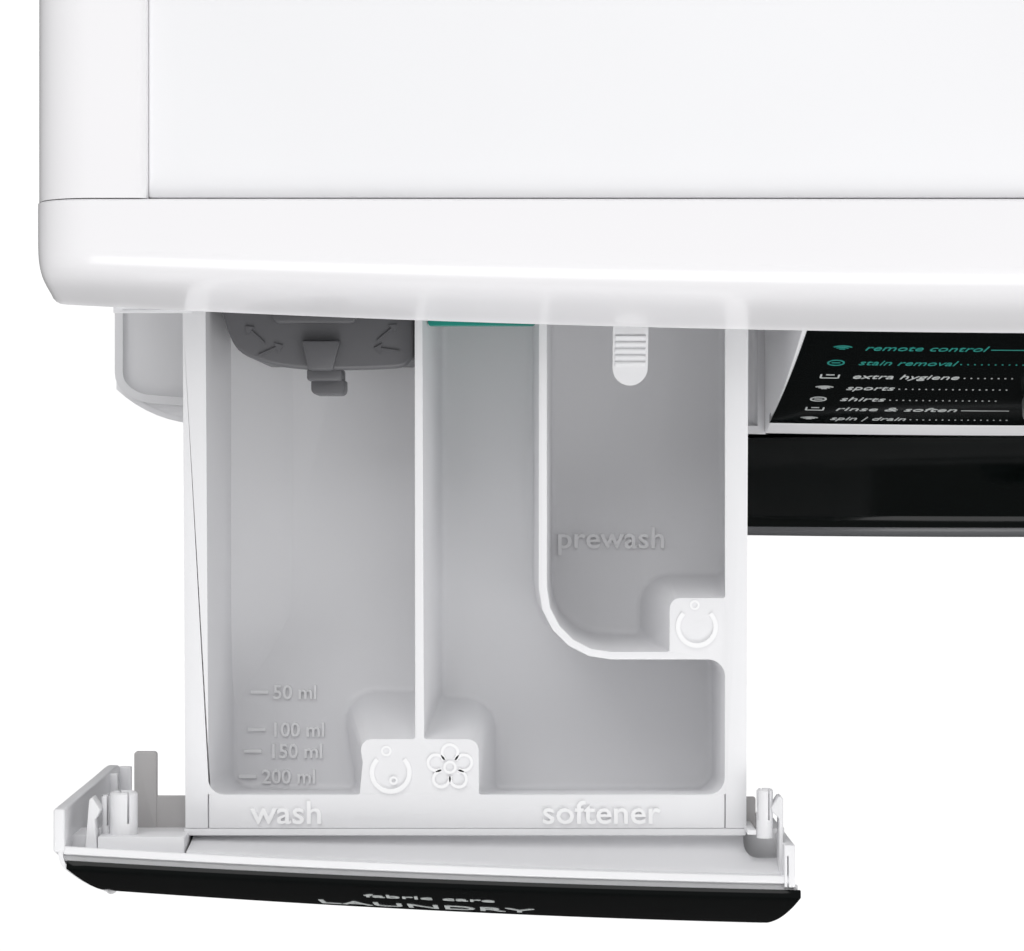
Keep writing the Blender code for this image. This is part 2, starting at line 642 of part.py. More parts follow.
def build_drum(stainless, aluminium, lifter_grey, steel):
    """The drum, its lifters, the spider with its shaft, both pulleys."""
    r = DRUM_RADIUS
    drum = turned("drum_shell", [
        (165, 95), (232, 95), (r, 105), (r, 388.5), (0, 388.5), (0, 387.3), (r - 1.2, 387.3),
        (r - 1.2, 105.5), (231.5, 96.2), (165, 96.2),
    ], at_axis(0), stainless)
    pivot(drum, at_axis(240))
    for number, angle in enumerate((90, 210, 330), 1):
        up = Vector((math.cos(math.radians(angle)), 0, math.sin(math.radians(angle))))
        across = Vector((up.z, 0, -up.x))
        shape = [(-30, 238), (30, 238), (22, 222), (10, 201), (-10, 201), (-22, 222)]
        sections = []
        for y, inset in ((140, 8), (150, 0), (330, 0), (340, 8)):
            rows = [(a, 238 - max(0, 238 - b - inset)) for a, b in shape]
            sections.append([Vector(at_axis(y)) + across * a + up * b for a, b in rows])
        pivot(loft(f"drum_lifter_{number}", sections, lifter_grey), at_axis(240))

    spider = turned("drum_spider", [
        (0, 389), (40, 389), (40, 401), (15, 407), (15, 462.5), (12, 463), (12, 488), (0, 488),
    ], at_axis(0), aluminium, segments=24)
    for number, angle in enumerate((30, 150, 270), 1):
        up = Vector((math.cos(math.radians(angle)), 0, math.sin(math.radians(angle))))
        across = Vector((up.z, 0, -up.x))
        sections = []
        for reach, half, deep in ((20, 22, 402), (150, 17, 400), (228, 26, 397)):
            centre = Vector(at_axis(0)) + up * reach
            sections.append(
                [
                    centre + across * a + Vector((0, y, 0))
                    for a, y in ((-half, 389.1), (half, 389.1), (half, deep), (-half, deep))
                ],
            )
        weld(spider, loft(f"spider_arm_{number}", sections, aluminium))
    pivot(spider, at_axis(240))

    y = PULLEY_Y
    pulley = turned("drum_pulley", [
        (12.4, y - 1), (24, y - 1), (24, y + 5), (126, y + 5), (126, y), (DRUM_PULLEY_RADIUS, y), (
            DRUM_PULLEY_RADIUS, y + PULLEY_WIDTH,
        ),
        (126, y + PULLEY_WIDTH), (126, y + 9), (24, y + 9), (24, y + 16), (12.4, y + 16),
    ], at_axis(0), aluminium, segments=24)
    for number in range(5):
        angle = 2 * math.pi * number / 5 + math.pi / 10
        spot = (75 * math.cos(angle), y - 10, AXIS_Z + 75 * math.sin(angle))
        cut(
            pulley,
            rod(f"cut_pulley_window_{number}", spot, (spot[0], y + 30, spot[2]), 31, aluminium, 8),
        )
    pivot(pulley, at_axis(240))

    profile = [
        (0, 410), (6, 410), (6, 464), (MOTOR_PULLEY_RADIUS, 464), (MOTOR_PULLEY_RADIUS, 482),
        (0, 482),
    ]
    pivot(turned("motor_pulley", profile, (0, 0, MOTOR_Z), steel, segments=20), (0, 440, MOTOR_Z))


def build_suspension(steel, damper_grey):
    """Two springs that hang the tub and two dampers that stand under it."""
    for side, name in ((-1, "left"), (1, "right")):
        x = side * SPRING_X
        turns, per_turn, coil = 6, 6, 8.5
        line = []
        for step in range(turns * per_turn + 1):
            angle = 2 * math.pi * step / per_turn
            height = 568 + 12 + 180 * step / (turns * per_turn)
            line.append((x + coil * math.cos(angle), 278 + coil * math.sin(angle), height))
        line = [(x, 278, 568), *line, (x, 278, 772)]
        wire(f"spring_{name}", line, 1.8, steel)
        x = side * 150.0
        profile = [(0, 26), (13, 26), (13, 150), (8.2, 150), (8.2, 32), (0, 32)]
        turned(f"damper_cylinder_{name}", profile, (x, 277, 0), damper_grey, (0, 0, 1), 16)
        profile = [(0, 62), (7.6, 62), (7.6, 158), (12, 160), (12, 185.4), (0, 185.4)]
        turned(f"damper_rod_{name}", profile, (x, 277, 0), steel, (0, 0, 1), 16)


# ---------------------------------------------------------------- door


def build_door(black_gloss, smoked, clear_glass, rubber, white_plastic, steel):
    """The round door with its bowl, hook and hinge, the gasket behind it and the lock."""
    r = DOOR_RADIUS
    hinge = (HINGE_X, HINGE_Y, AXIS_Z)
    frame = turned("door_frame", [
        (172, -2), (r - 1.5, -2), (r, -3.5), (r, -28.7), (r - 4, -32.2), (r - 9, DOOR_FRONT),
        (226.5, DOOR_FRONT), (226.5, -29), (172, -29),
    ], at_axis(0), black_gloss, segments=40)
    weld(frame, box("door_hinge_arm", (-250, -12, AXIS_Z - 28), (-232, -4, AXIS_Z + 28), black_gloss))
    weld(
        frame,
        rod(
            "door_hinge_knuckle", (HINGE_X, HINGE_Y, AXIS_Z - 28), (HINGE_X, HINGE_Y, AXIS_Z + 28),
            5.5, black_gloss, 12,
        ),
    )
    cut(
        frame,
        box(
            "cut_hinge_bore", (HINGE_X - 2.6, HINGE_Y - 2.6, AXIS_Z - 40),
            (HINGE_X + 2.6, HINGE_Y + 2.6, AXIS_Z + 40), black_gloss,
        ),
    )
    cut(frame, box("cut_grip", (214, -23, AXIS_Z - 50), (250, 5, AXIS_Z + 50), black_gloss))
    pivot(frame, hinge)
    cover = turned("door_cover", [
        (0, -34.2), (120, -33.6), (200, -31.4), (
            225.8, -29.4,
        ), (225.8, -33), (200, -35.4), (120, -37.5), (0, -38.2),
    ], at_axis(0), smoked, segments=40)
    pivot(cover, hinge)
    bowl = turned("door_glass", [
        (170, -12), (170, -5), (152, -3), (147, 20), (138, 56), (114, 84), (62, 94), (0, 95.5),
        (0, 91), (60, 89.5), (109, 80), (133, 53), (142, 18), (146, -12),
    ], at_axis(0), clear_glass)
    pivot(bowl, hinge)
    hook = prism(
        "door_hook",
        [(198, -1.2), (205, -1.2), (205, 14), (209, 17), (209, 19), (205, 26), (198, 26)],
        AXIS_Z - 9, AXIS_Z + 9, steel,
    )
    pivot(hook, (201.5, -1, AXIS_Z))

    plate_back = bow(HINGE_X) - 0.7
    bracket = box("hinge_bracket", (-263, 1.5, AXIS_Z - 46), (-244, plate_back, AXIS_Z + 46), steel)
    for low, high in ((AXIS_Z - 46, AXIS_Z - 28.5), (AXIS_Z + 28.5, AXIS_Z + 46)):
        weld(bracket, box(f"bracket_ear_{low:.0f}", (-259, -14, low), (-246, 3, high), steel))
    weld(
        bracket,
        rod(
            "bracket_pin", (HINGE_X, HINGE_Y, AXIS_Z - 35), (HINGE_X, HINGE_Y, AXIS_Z + 35), 1.8,
            steel, 8,
        ),
    )
    lock = box("door_lock", (180, 12, AXIS_Z - 40), (226, 44, AXIS_Z + 40), white_plastic)
    cut(lock, box("cut_lock_mouth", (192, 5, AXIS_Z - 15), (214, 34, AXIS_Z + 15), white_plastic))
    turned("door_gasket", [
        (174.5, 3.2), (174.5, 11), (169, 12), (169, 26), (165, 34), (169, 42), (169, 61.6),
        (160, 61.6), (160, 44), (155.5, 34), (160, 24), (160, 3.2),
    ], at_axis(0), rubber)


def build_drain(white_plastic, pump_grey, hose_black, filter_white):
    """The pump with its filter, the flap in the kick plate and the hose from the tub's sump."""
    case = [(0, 90), (23, 90), (23, 37), (29, 37), (29, 120), (22, 120), (22, 165), (0, 165)]
    turned("drain_pump", case, (215, 0, 71), pump_grey, segments=20)
    cap = [(0, 29.2), (26, 29.2), (26, 36), (21.5, 36.5), (21.5, 80), (0, 80)]
    plug = turned("pump_filter", cap, (215, 0, 71), filter_white, segments=20)
    weld(plug, box("filter_grip", (211.5, 19.5, 51), (218.5, 30, 91), filter_white))
    pivot(plug, (215, 30, 71))
    columns = spread(160.8, 269.2, 4)
    outer = [(x, bow(x) + 1.5) for x in columns]
    inner = [(x, bow(x) + 4) for x in reversed(columns)]
    flap = prism("pump_flap", outer + inner, 38.8, 103.2, white_plastic)
    pivot(flap, (215, bow(160.8) + 1.5, 39))
    hose(
        "sump_hose",
        [
            (105, 150, 183), (112, 150, 165), (140, 148, 130), (168, 140, 104), (184, 132, 94),
            (191, 126, 90),
        ],
        13, hose_black,
    )
    gland = [(0, 500), (8.8, 500), (8.8, 520.4), (13, 520.4), (13, 526), (7, 540), (0, 540)]
    turned("mains_gland", gland, (240, 0, 120), hose_black, segments=16)


def main():
    """Clears the scene and builds the machine, sub-assembly by sub-assembly."""
    for old in list(bpy.data.objects):
        bpy.data.objects.remove(old)
    white_steel = material("white_painted_steel", (0.86, 0.86, 0.87), 0.35)
    white_plastic = material("white_plastic", (0.85, 0.85, 0.86), 0.4)
    drawer_plastic = material("drawer_plastic", (0.72, 0.72, 0.73), 0.45)
    white_board = material("white_laminate", (0.87, 0.87, 0.88), 0.5)
    black_glass = material("black_panel", (0.01, 0.012, 0.012), 0.12)
    black_gloss = material("black_gloss", (0.012, 0.013, 0.014), 0.15)
    smoked = material("smoked_cover", (0.03, 0.03, 0.035), 0.08)
    clear = material("clear_glass", (0.75, 0.8, 0.8), 0.03)
    dark_plastic = material("dark_plastic", (0.05, 0.05, 0.055), 0.6)
    mid_grey = material("mid_grey_plastic", (0.33, 0.34, 0.35), 0.5)
    flap_grey = material("flap_grey", (0.1, 0.1, 0.1), 0.5)
    knob_grey = material("knob_grey", (0.3, 0.3, 0.31), 0.35, 0.6)
    teal = material("teal_plastic", (0.0, 0.2, 0.18), 0.35)
    rubber = material("grey_rubber", (0.2, 0.2, 0.21), 0.7)
    black_rubber = material("black_rubber", (0.02, 0.02, 0.02), 0.7)
    concrete = material("concrete", (0.45, 0.44, 0.42), 0.9)
    stainless = material("stainless", (0.6, 0.6, 0.62), 0.25, 1.0)
    aluminium = material("cast_aluminium", (0.55, 0.56, 0.57), 0.5, 1.0)
    steel = material("zinc_steel", (0.5, 0.5, 0.52), 0.35, 1.0)
    green = material("board_green", (0.03, 0.16, 0.07), 0.5)
    blue = material("valve_blue", (0.05, 0.12, 0.35), 0.4)

    build_casing(white_steel, white_plastic, dark_plastic, black_rubber)
    build_top_cover(white_plastic, white_board)
    build_controls(white_plastic, black_glass, knob_grey, green)
    build_drawer(drawer_plastic, black_glass, teal, flap_grey)
    build_dispenser(mid_grey, blue, black_rubber)
    build_tub(mid_grey, concrete, dark_plastic, steel, black_rubber)
    build_drum(stainless, aluminium, mid_grey, steel)
    build_suspension(steel, mid_grey)
    build_door(black_gloss, smoked, clear, rubber, white_plastic, steel)
    build_drain(white_plastic, mid_grey, black_rubber, white_plastic)


main()
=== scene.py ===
"""Looks of a front load washing machine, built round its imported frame.

The design is written in the machine's own millimetres: x from the middle plane, y from the front
panel's face at that plane (negative towards the user) and z from the floor. at() turns such a point
into the frame's metres. Each sub-assembly is a class that models its pieces with Blender's own
operators and dresses them in finishes named for what the real ones are.
"""

import logging
import math
from collections.abc import Callable, Iterable, Sequence
from dataclasses import dataclass, field
from enum import Enum

import bmesh
import bpy
from bpy.types import Material, Node, NodeTree, Object
from mathutils import Matrix, Vector


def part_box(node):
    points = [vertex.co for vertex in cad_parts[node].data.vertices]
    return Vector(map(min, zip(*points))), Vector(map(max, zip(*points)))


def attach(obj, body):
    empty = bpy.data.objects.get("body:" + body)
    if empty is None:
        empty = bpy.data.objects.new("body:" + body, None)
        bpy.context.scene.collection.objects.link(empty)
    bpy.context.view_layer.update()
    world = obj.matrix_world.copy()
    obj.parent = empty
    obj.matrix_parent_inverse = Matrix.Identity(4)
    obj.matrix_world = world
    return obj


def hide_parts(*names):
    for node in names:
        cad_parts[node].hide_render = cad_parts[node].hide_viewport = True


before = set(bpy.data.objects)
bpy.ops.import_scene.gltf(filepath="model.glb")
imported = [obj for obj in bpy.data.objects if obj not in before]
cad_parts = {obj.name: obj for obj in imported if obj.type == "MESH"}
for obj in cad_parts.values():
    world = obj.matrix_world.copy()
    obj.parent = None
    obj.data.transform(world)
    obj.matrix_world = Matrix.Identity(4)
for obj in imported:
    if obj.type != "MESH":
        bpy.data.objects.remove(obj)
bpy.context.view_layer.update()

LOG = logging.getLogger("washing_machine")
Point = tuple[float, float, float]
Flat = tuple[float, float]

MM = 0.001
FACE_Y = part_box("front_panel")[0].y
BOW_RADIUS = 5600.0
HALF_WIDTH = 299.5
COVER_HALF = 300.0
AXIS_Z = 430.0
DRUM_AXIS = (0, 0, AXIS_Z)
PULLED = -153.3
PANEL_TOP = 812.3
GLASS_LOW = 716.5
FASCIA_LOW = 698.0


def at(x: float, y: float, z: float) -> Vector:
    """Gives the frame's place, in metres, of a point in the machine's millimetres."""
    return Vector((x * MM, y * MM + FACE_Y, z * MM))


def design(point: Vector) -> Vector:
    """Gives a frame's point back in the machine's millimetres."""
    return Vector((point.x / MM, (point.y - FACE_Y) / MM, point.z / MM))


def bow(x: float) -> float:
    """Gives how far the machine's front falls back at a distance from its middle."""
    return x * x / (2 * BOW_RADIUS)


def lean(z: float) -> float:
    """Gives a height's share of the way down the black panel, from 0 at its top to 1 at its foot."""
    return (812.5 - z) / 96.0


def panel_y(z: float) -> float:
    """Gives the control panel's depth on the middle plane at a height."""
    t = lean(z)
    return 24.9 - 29.8 * t + 5.5 * t * t


def forward(distance: float) -> float:
    """Gives the depth of a point of the drawer from its distance in front of the camera's foot."""
    return -14.7 - distance


def spread(low: float, high: float, count: int) -> list[float]:
    """Gives count + 1 evenly spaced values from low to high."""
    return [low + (high - low) * step / count for step in range(count + 1)]


def circle(x: float, y: float, radius: float, count: int) -> list[Flat]:
    """Gives evenly spaced points round a middle."""
    turns = spread(0, 2 * math.pi, count)[:-1]
    return [(x + radius * math.cos(turn), y + radius * math.sin(turn)) for turn in turns]


def rounded(corners: Sequence[Point], steps: int = 6) -> list[Flat]:
    """Rounds the corners of an outline.

    Args:
        corners: the outline's corners in order, each with its own radius.
        steps: how many short edges each arc has.

    Returns:
        The outline's points, with every corner as an arc.
    """
    outline: list[Flat] = []
    for index, (x, y, radius) in enumerate(corners):
        here = Vector((x, y))
        before = (Vector(corners[index - 1][:2]) - here).normalized()
        after = (Vector(corners[(index + 1) % len(corners)][:2]) - here).normalized()
        half = before.angle(after) / 2
        centre = here + (before + after).normalized() * radius / math.sin(half)
        reach = radius / math.tan(half)
        start, end = here + before * reach - centre, here + after * reach - centre
        for step in range(steps + 1):
            mix = start.lerp(end, step / steps)
            if radius > 0 and mix.length > 0:
                swing = start.angle(end)
                share = step / steps
                mix = (
                    start * math.sin((1 - share) * swing) + end * math.sin(share * swing)
                ) / math.sin(swing)
            spot = centre + mix
            outline.append((spot.x, spot.y))
            if radius <= 0:
                break
    return outline


class Bench:
    """Blender's modelling operators, used on one piece at a time, with sizes in millimetres."""

    @staticmethod
    def take(piece: Object) -> Object:
        """Selects one piece alone in object mode."""
        if bpy.context.mode != "OBJECT":
            bpy.ops.object.mode_set(mode="OBJECT")
        bpy.ops.object.select_all(action="DESELECT")
        piece.select_set(True)
        bpy.context.view_layer.objects.active = piece
        return piece

    @staticmethod
    def settle(name: str) -> Object:
        """Names the newest piece and moves its place into its mesh."""
        piece = bpy.context.active_object
        piece.name = piece.data.name = name
        Bench.take(piece)
        bpy.ops.object.transform_apply(location=True, rotation=True, scale=True)
        return piece

    @staticmethod
    def edit(piece: Object, kind: str = "FACE") -> bmesh.types.BMesh:
        """Opens a piece in edit mode with nothing selected, and returns its live mesh."""
        Bench.take(piece)
        bpy.ops.object.mode_set(mode="EDIT")
        bpy.ops.mesh.select_mode(type=kind)
        bpy.ops.mesh.select_all(action="DESELECT")
        return bmesh.from_edit_mesh(piece.data)

    @staticmethod
    def close() -> None:
        """Leaves edit mode."""
        bpy.ops.object.mode_set(mode="OBJECT")

    @staticmethod
    def tidy(piece: Object) -> Object:
        """Merges doubled points and turns a closed piece's faces outwards."""
        Bench.edit(piece)
        bpy.ops.mesh.select_all(action="SELECT")
        bpy.ops.mesh.remove_doubles(threshold=2e-6)
        bpy.ops.mesh.dissolve_degenerate(threshold=1e-6)
        bpy.ops.mesh.normals_make_consistent(inside=False)
        Bench.close()
        return piece

    @staticmethod
    def block(name: str, low: Point, high: Point) -> Object:
        """Adds a cube that fills the space between two corners."""
        start, end = at(*low), at(*high)
        bpy.ops.object.select_all(action="DESELECT")
        bpy.ops.mesh.primitive_cube_add(size=1, location=(start + end) / 2)
        bpy.context.active_object.scale = end - start
        return Bench.settle(name)

    @staticmethod
    def rod(name: str, start: Point, end: Point, radius: float, segments: int = 24) -> Object:
        """Adds a round bar between two points."""
        first, last = at(*start), at(*end)
        bpy.ops.object.select_all(action="DESELECT")
        bpy.ops.mesh.primitive_cylinder_add(
            vertices=segments, radius=radius * MM, depth=(last - first).length, location=(first + last) / 2,
            rotation=(last - first).to_track_quat("Z", "Y").to_euler(),
        )
        return Bench.settle(name)

    @staticmethod
    def outline(name: str, points: Sequence[Vector], filled: bool) -> Object:
        """Adds a circle with one corner for each point and draws its corners onto the points."""
        bpy.ops.object.select_all(action="DESELECT")
        bpy.ops.mesh.primitive_circle_add(
            vertices=len(points), radius=1, fill_type="NGON" if filled else "NOTHING"
        )
        piece = Bench.settle(name)
        for vertex, point in zip(piece.data.vertices, points):
            vertex.co = point
        return piece

    @staticmethod
    def prism(
        name: str,
        shape: Sequence[Flat],
        axis: str,
        low: float,
        high: float,
        steps: int = 1,
        far: Sequence[Flat] | None = None,
    ) -> Object:
        """Draws an outline across an axis and extrudes it along that axis.

        Args:
            name: the piece's name.
            shape: the outline in the plane across the axis.
            axis: X, Y or Z.
            low: where the outline lies.
            high: where the extrusion ends.
            steps: how many lengths the extrusion is made in.
            far: the outline at the far end, if it differs.

        Returns:
            The closed piece.
        """
        place = {
            "X": lambda a, b, h: at(h, a, b),
            "Y": lambda a, b, h: at(a, h, b),
            "Z": lambda a, b, h: at(a, b, h),
        }[axis]
        piece = Bench.outline(name, [place(a, b, low) for a, b in shape], True)
        move = (place(0, 0, high) - place(0, 0, low)) / steps
        Bench.edit(piece)
        bpy.ops.mesh.select_all(action="SELECT")
        for _ in range(steps):
            bpy.ops.mesh.extrude_region_move(TRANSFORM_OT_translate={"value": move})
        Bench.close()
        if far is not None:
            ends = piece.data.vertices[-len(far):]
            for vertex, (a, b) in zip(ends, far):
                vertex.co = place(a, b, high)
        return Bench.tidy(piece)

    @staticmethod
    def turned(
        name: str, profile: Sequence[Flat], base: Point, direction: Point = (0, 1, 0), segments: int = 64
    ) -> Object:
        """Draws a closed profile of (radius, height) and spins it round a line through base."""
        axis = Vector(direction).normalized()
        turn = Vector((0, 0, 1)).rotation_difference(axis)
        across = turn @ Vector((1, 0, 0))
        foot = at(*base)
        points = [foot + across * radius * MM + axis * height * MM for radius, height in profile]
        piece = Bench.outline(name, points, False)
        Bench.edit(piece, "EDGE")
        bpy.ops.mesh.select_all(action="SELECT")
        bpy.ops.mesh.spin(steps=segments, angle=2 * math.pi, center=foot, axis=axis)
        bpy.ops.mesh.select_all(action="SELECT")
        bpy.ops.mesh.remove_doubles(threshold=2e-6)
        bpy.ops.mesh.delete_loose(use_verts=True, use_edges=True, use_faces=False)
        Bench.close()
        return Bench.tidy(piece)

    @staticmethod
    def sheet(
        name: str, columns: int, rows: int, shape: Callable[[float, float], Point], thickness: float
    ) -> Object:
        """Adds a grid, draws it onto a surface and gives it a wall.

        Args:
            name: the piece's name.
            columns: faces along the surface's first direction.
            rows: faces along its second direction.
            shape: the surface, from two shares between 0 and 1.
            thickness: the wall, negative to grow against the surface's normal.

        Returns:
            The closed piece.
        """
        bpy.ops.object.select_all(action="DESELECT")
        bpy.ops.mesh.primitive_grid_add(x_subdivisions=columns, y_subdivisions=rows, size=1)
        piece = Bench.settle(name)
        for vertex in piece.data.vertices:
            vertex.co = at(*shape(vertex.co.x + 0.5, vertex.co.y + 0.5))
        return Bench.modify(piece, "SOLIDIFY", thickness=thickness * MM, offset=-1)

    @staticmethod
    def modify(piece: Object, kind: str, **settings: object) -> Object:
        """Adds a modifier with its settings and applies it."""
        change = piece.modifiers.new(kind.title(), kind)
        for setting, value in settings.items():
            setattr(change, setting, value)
        Bench.take(piece)
        bpy.ops.object.modifier_apply(modifier=change.name)
        return piece

    @staticmethod
    def cut(piece: Object, *cutters: Object) -> Object:
        """Cuts shapes out of a piece and takes the cutters away."""
        for cutter in cutters:
            Bench.modify(piece, "BOOLEAN", object=cutter, operation="DIFFERENCE", solver="MANIFOLD")
            bpy.data.objects.remove(cutter)
        return piece

    @staticmethod
    def unite(piece: Object, *others: Object) -> Object:
        """Fuses other shapes into a piece."""
        for other in others:
            Bench.modify(piece, "BOOLEAN", object=other, operation="UNION", solver="MANIFOLD")
            bpy.data.objects.remove(other)
        return piece

    @staticmethod
    def join(piece: Object, *others: Object) -> Object:
        """Gathers shapes that only touch into one object."""
        Bench.take(piece)
        for other in others:
            other.select_set(True)
        bpy.context.view_layer.objects.active = piece
        bpy.ops.object.join()
        return piece

    @staticmethod
    def soften(piece: Object, width: float, segments: int = 2, angle: float = 30) -> Object:
        """Rounds a piece's sharp edges."""
        return Bench.modify(
            piece, "BEVEL", width=width * MM, segments=segments, limit_method="ANGLE",
            angle_limit=math.radians(angle), use_clamp_overlap=True, miter_outer="MITER_ARC",
        )

    @staticmethod
    def bevel(
        piece: Object, test: Callable[[Vector, Vector], bool], width: float, segments: int = 4
    ) -> Object:
        """Bevels the edges that a test picks by their middle and their direction."""
        shape = Bench.edit(piece, "EDGE")
        for edge in shape.edges:
            first, last = (design(corner.co) for corner in edge.verts)
            if test((first + last) / 2, (last - first).normalized()):
                edge.select_set(True)
        bmesh.update_edit_mesh(piece.data)
        bpy.ops.mesh.bevel(offset=width * MM, segments=segments, affect="EDGES", profile=0.5)
        Bench.close()
        return piece

    @staticmethod
    def emboss(
        piece: Object, test: Callable[[Vector, Vector], bool], border: float, depth: float, slope: float
    ) -> Object:
        """Insets the faces that a test picks and pushes their middle along their normal."""
        shape = Bench.edit(piece)
        for face in shape.faces:
            face.select_set(test(design(face.calc_center_median()), face.normal))
        bmesh.update_edit_mesh(piece.data)
        if border > 0:
            bpy.ops.mesh.inset(thickness=border * MM, depth=0)
        bpy.ops.mesh.inset(thickness=slope * MM, depth=depth * MM)
        Bench.close()
        return piece

    @staticmethod
    def slice_up(piece: Object, axis: str, places: Iterable[float]) -> Object:
        """Adds a loop of edges across an axis at each place."""
        normal = {"X": (1, 0, 0), "Y": (0, 1, 0), "Z": (0, 0, 1)}[axis]
        for place in places:
            Bench.edit(piece)
            bpy.ops.mesh.select_all(action="SELECT")
            bpy.ops.mesh.bisect(plane_co=at(place, place, place), plane_no=normal)
            Bench.close()
        return piece

    @staticmethod
    def form(piece: Object, rule: Callable[[Vector], Vector]) -> Object:
        """Moves each point of a piece by a rule in millimetres."""
        for vertex in piece.data.vertices:
            vertex.co = at(*rule(design(vertex.co)))
        return piece

    @staticmethod
    def copied(piece: Object, name: str, change: Matrix) -> Object:
        """Copies a piece with its own mesh and moves the copy's points."""
        other = piece.copy()
        other.data = piece.data.copy()
        other.name = other.data.name = name
        bpy.context.scene.collection.objects.link(other)
        other.data.transform(change)
        return Bench.tidy(other)

    @staticmethod
    def lettering(
        name: str,
        text: str,
        size: float,
        thickness: float,
        place: Point,
        right: Vector,
        up: Vector,
        weight: float = 0,
    ) -> Object:
        """Sets a line of plain letters as a thin solid that stands on a surface.

        Args:
            name: the piece's name.
            text: the generic word, number or sign.
            size: the letters' height.
            thickness: how far they stand proud.
            place: the left end of the line's foot.
            right: the direction of the line.
            up: the direction of the letters' height.
            weight: how much bolder than plain the strokes are.

        Returns:
            The letters as a mesh.
        """
        bpy.ops.object.select_all(action="DESELECT")
        bpy.ops.object.text_add()
        line = bpy.context.active_object
        line.data.body = text
        line.data.size = size * MM * 1.4
        line.data.resolution_u = 3
        line.data.offset = weight * MM
        line.data.extrude = thickness * MM / 2
        bpy.ops.object.convert(target="MESH")
        piece = Bench.settle(name)
        across, upward = right.normalized(), up.normalized()
        out = across.cross(upward).normalized()
        turn = Matrix((across, upward, out)).transposed().to_4x4()
        piece.data.transform(Matrix.Translation(at(*place)) @ turn)
        return piece


class Grain(Enum):
    """How a surface was made, which decides what its fine relief looks like."""

    MOULDED = "fine eroded texture of a moulding tool"
    PAINTED = "orange peel of sprayed or baked paint"
    BRUSHED = "fine parallel lines"
    CAST = "coarse skin of a casting"
    POLISHED = "no texture, only a faint waviness"


def linear(colour: str) -> tuple[float, float, float, float]:
    """Turns a hex sRGB colour into the linear one that shaders use."""
    channels = []
    for start in (1, 3, 5):
        value = int(colour[start:start + 2], 16) / 255
        channels.append(value / 12.92 if value <= 0.04045 else ((value + 0.055) / 1.055) ** 2.4)
    return channels[0], channels[1], channels[2], 1.0


def add_node(tree: NodeTree, kind: str, settings: dict[str, object], **links: object) -> Node:
    """Adds one shader node.

    Args:
        tree: the material's node tree.
        kind: the node's type, without its ShaderNode prefix.
        settings: the node's own properties.
        links: its inputs by name, with an underscore for each space, as a socket or a value.

    Returns:
        The node.
    """
    node = tree.nodes.new(f"ShaderNode{kind}")
    for setting, value in settings.items():
        setattr(node, setting, value)
    for label, value in links.items():
        socket = node.inputs[int(label[1:])] if label[0] == "_" else node.inputs[label.replace("_", " ")]
        if isinstance(value, bpy.types.NodeSocket):
            tree.links.new(value, socket)
        else:
            socket.default_value = value
    return node


@dataclass(frozen=True)
class Finish:
    """A surface finish: what the real one is, and what its surface gives the eye."""

    name: str
    colour: str
    roughness: float
    slot: str
    grain: Grain = Grain.MOULDED
    grain_mm: float = 0.8
    depth_mm: float = 0.02
    metallic: float = 0.0
    ior: float = 1.5
    coat: float = 0.0
    transmission: float = 0.0
    tint: float = 0.05
    lines: Point = (1.0, 1.0, 1.0)

    def material(self) -> Material:
        """Builds the material, or returns the one built before."""
        made = bpy.data.materials.get(self.name)
        if made is None:
            made = bpy.data.materials.new(self.name)
            made.use_nodes = True
            tree = made.node_tree
            shader = tree.nodes["Principled BSDF"]
            self.set_sockets(shader)
            self.relief(tree, shader)
        return made

    def set_sockets(self, shader: Node) -> None:
        """Puts the values that are the same all over on the shader's own sockets."""
        shader.inputs["Metallic"].default_value = self.metallic
        shader.inputs["IOR"].default_value = self.ior
        shader.inputs["Coat Weight"].default_value = self.coat
        shader.inputs["Coat Roughness"].default_value = 0.05
        shader.inputs["Transmission Weight"].default_value = self.transmission

    def relief(self, tree: NodeTree, shader: Node) -> None:
        """Gives the surface its colour drift, its uneven gloss and its fine relief."""
        place = add_node(tree, "TexCoord", {}).outputs["Object"]
        stretch = self.lines if self.grain is Grain.BRUSHED else (1.0, 1.0, 1.0)
        laid = add_node(tree, "Mapping", {}, Vector=place, Scale=stretch).outputs["Vector"]
        fine = add_node(
            tree, "TexNoise", {}, Vector=laid, Scale=1 / (self.grain_mm * MM), Detail=3.0, Roughness=0.6
        ).outputs["Fac"]
        drift = add_node(tree, "TexNoise", {}, Vector=place, Scale=14.0, Detail=2.0).outputs["Fac"]
        base = linear(self.colour)
        worn = tuple(channel * (1 - self.tint) for channel in base[:3]) + (1.0,)
        tone = add_node(tree, "Mix", {"data_type": "RGBA"}, _0=drift, _6=worn, _7=base).outputs[2]
        tree.links.new(tone, shader.inputs["Base Color"])
        gloss = add_node(
            tree, "MapRange", {}, Value=drift, To_Min=max(0.02, self.roughness - 0.04),
            To_Max=self.roughness + 0.05,
        ).outputs["Result"]
        tree.links.new(gloss, shader.inputs["Roughness"])
        bump = add_node(
            tree, "Bump", {}, Strength=0.5, Distance=self.depth_mm * MM, Height=fine
        ).outputs["Normal"]
        tree.links.new(bump, shader.inputs["Normal"])


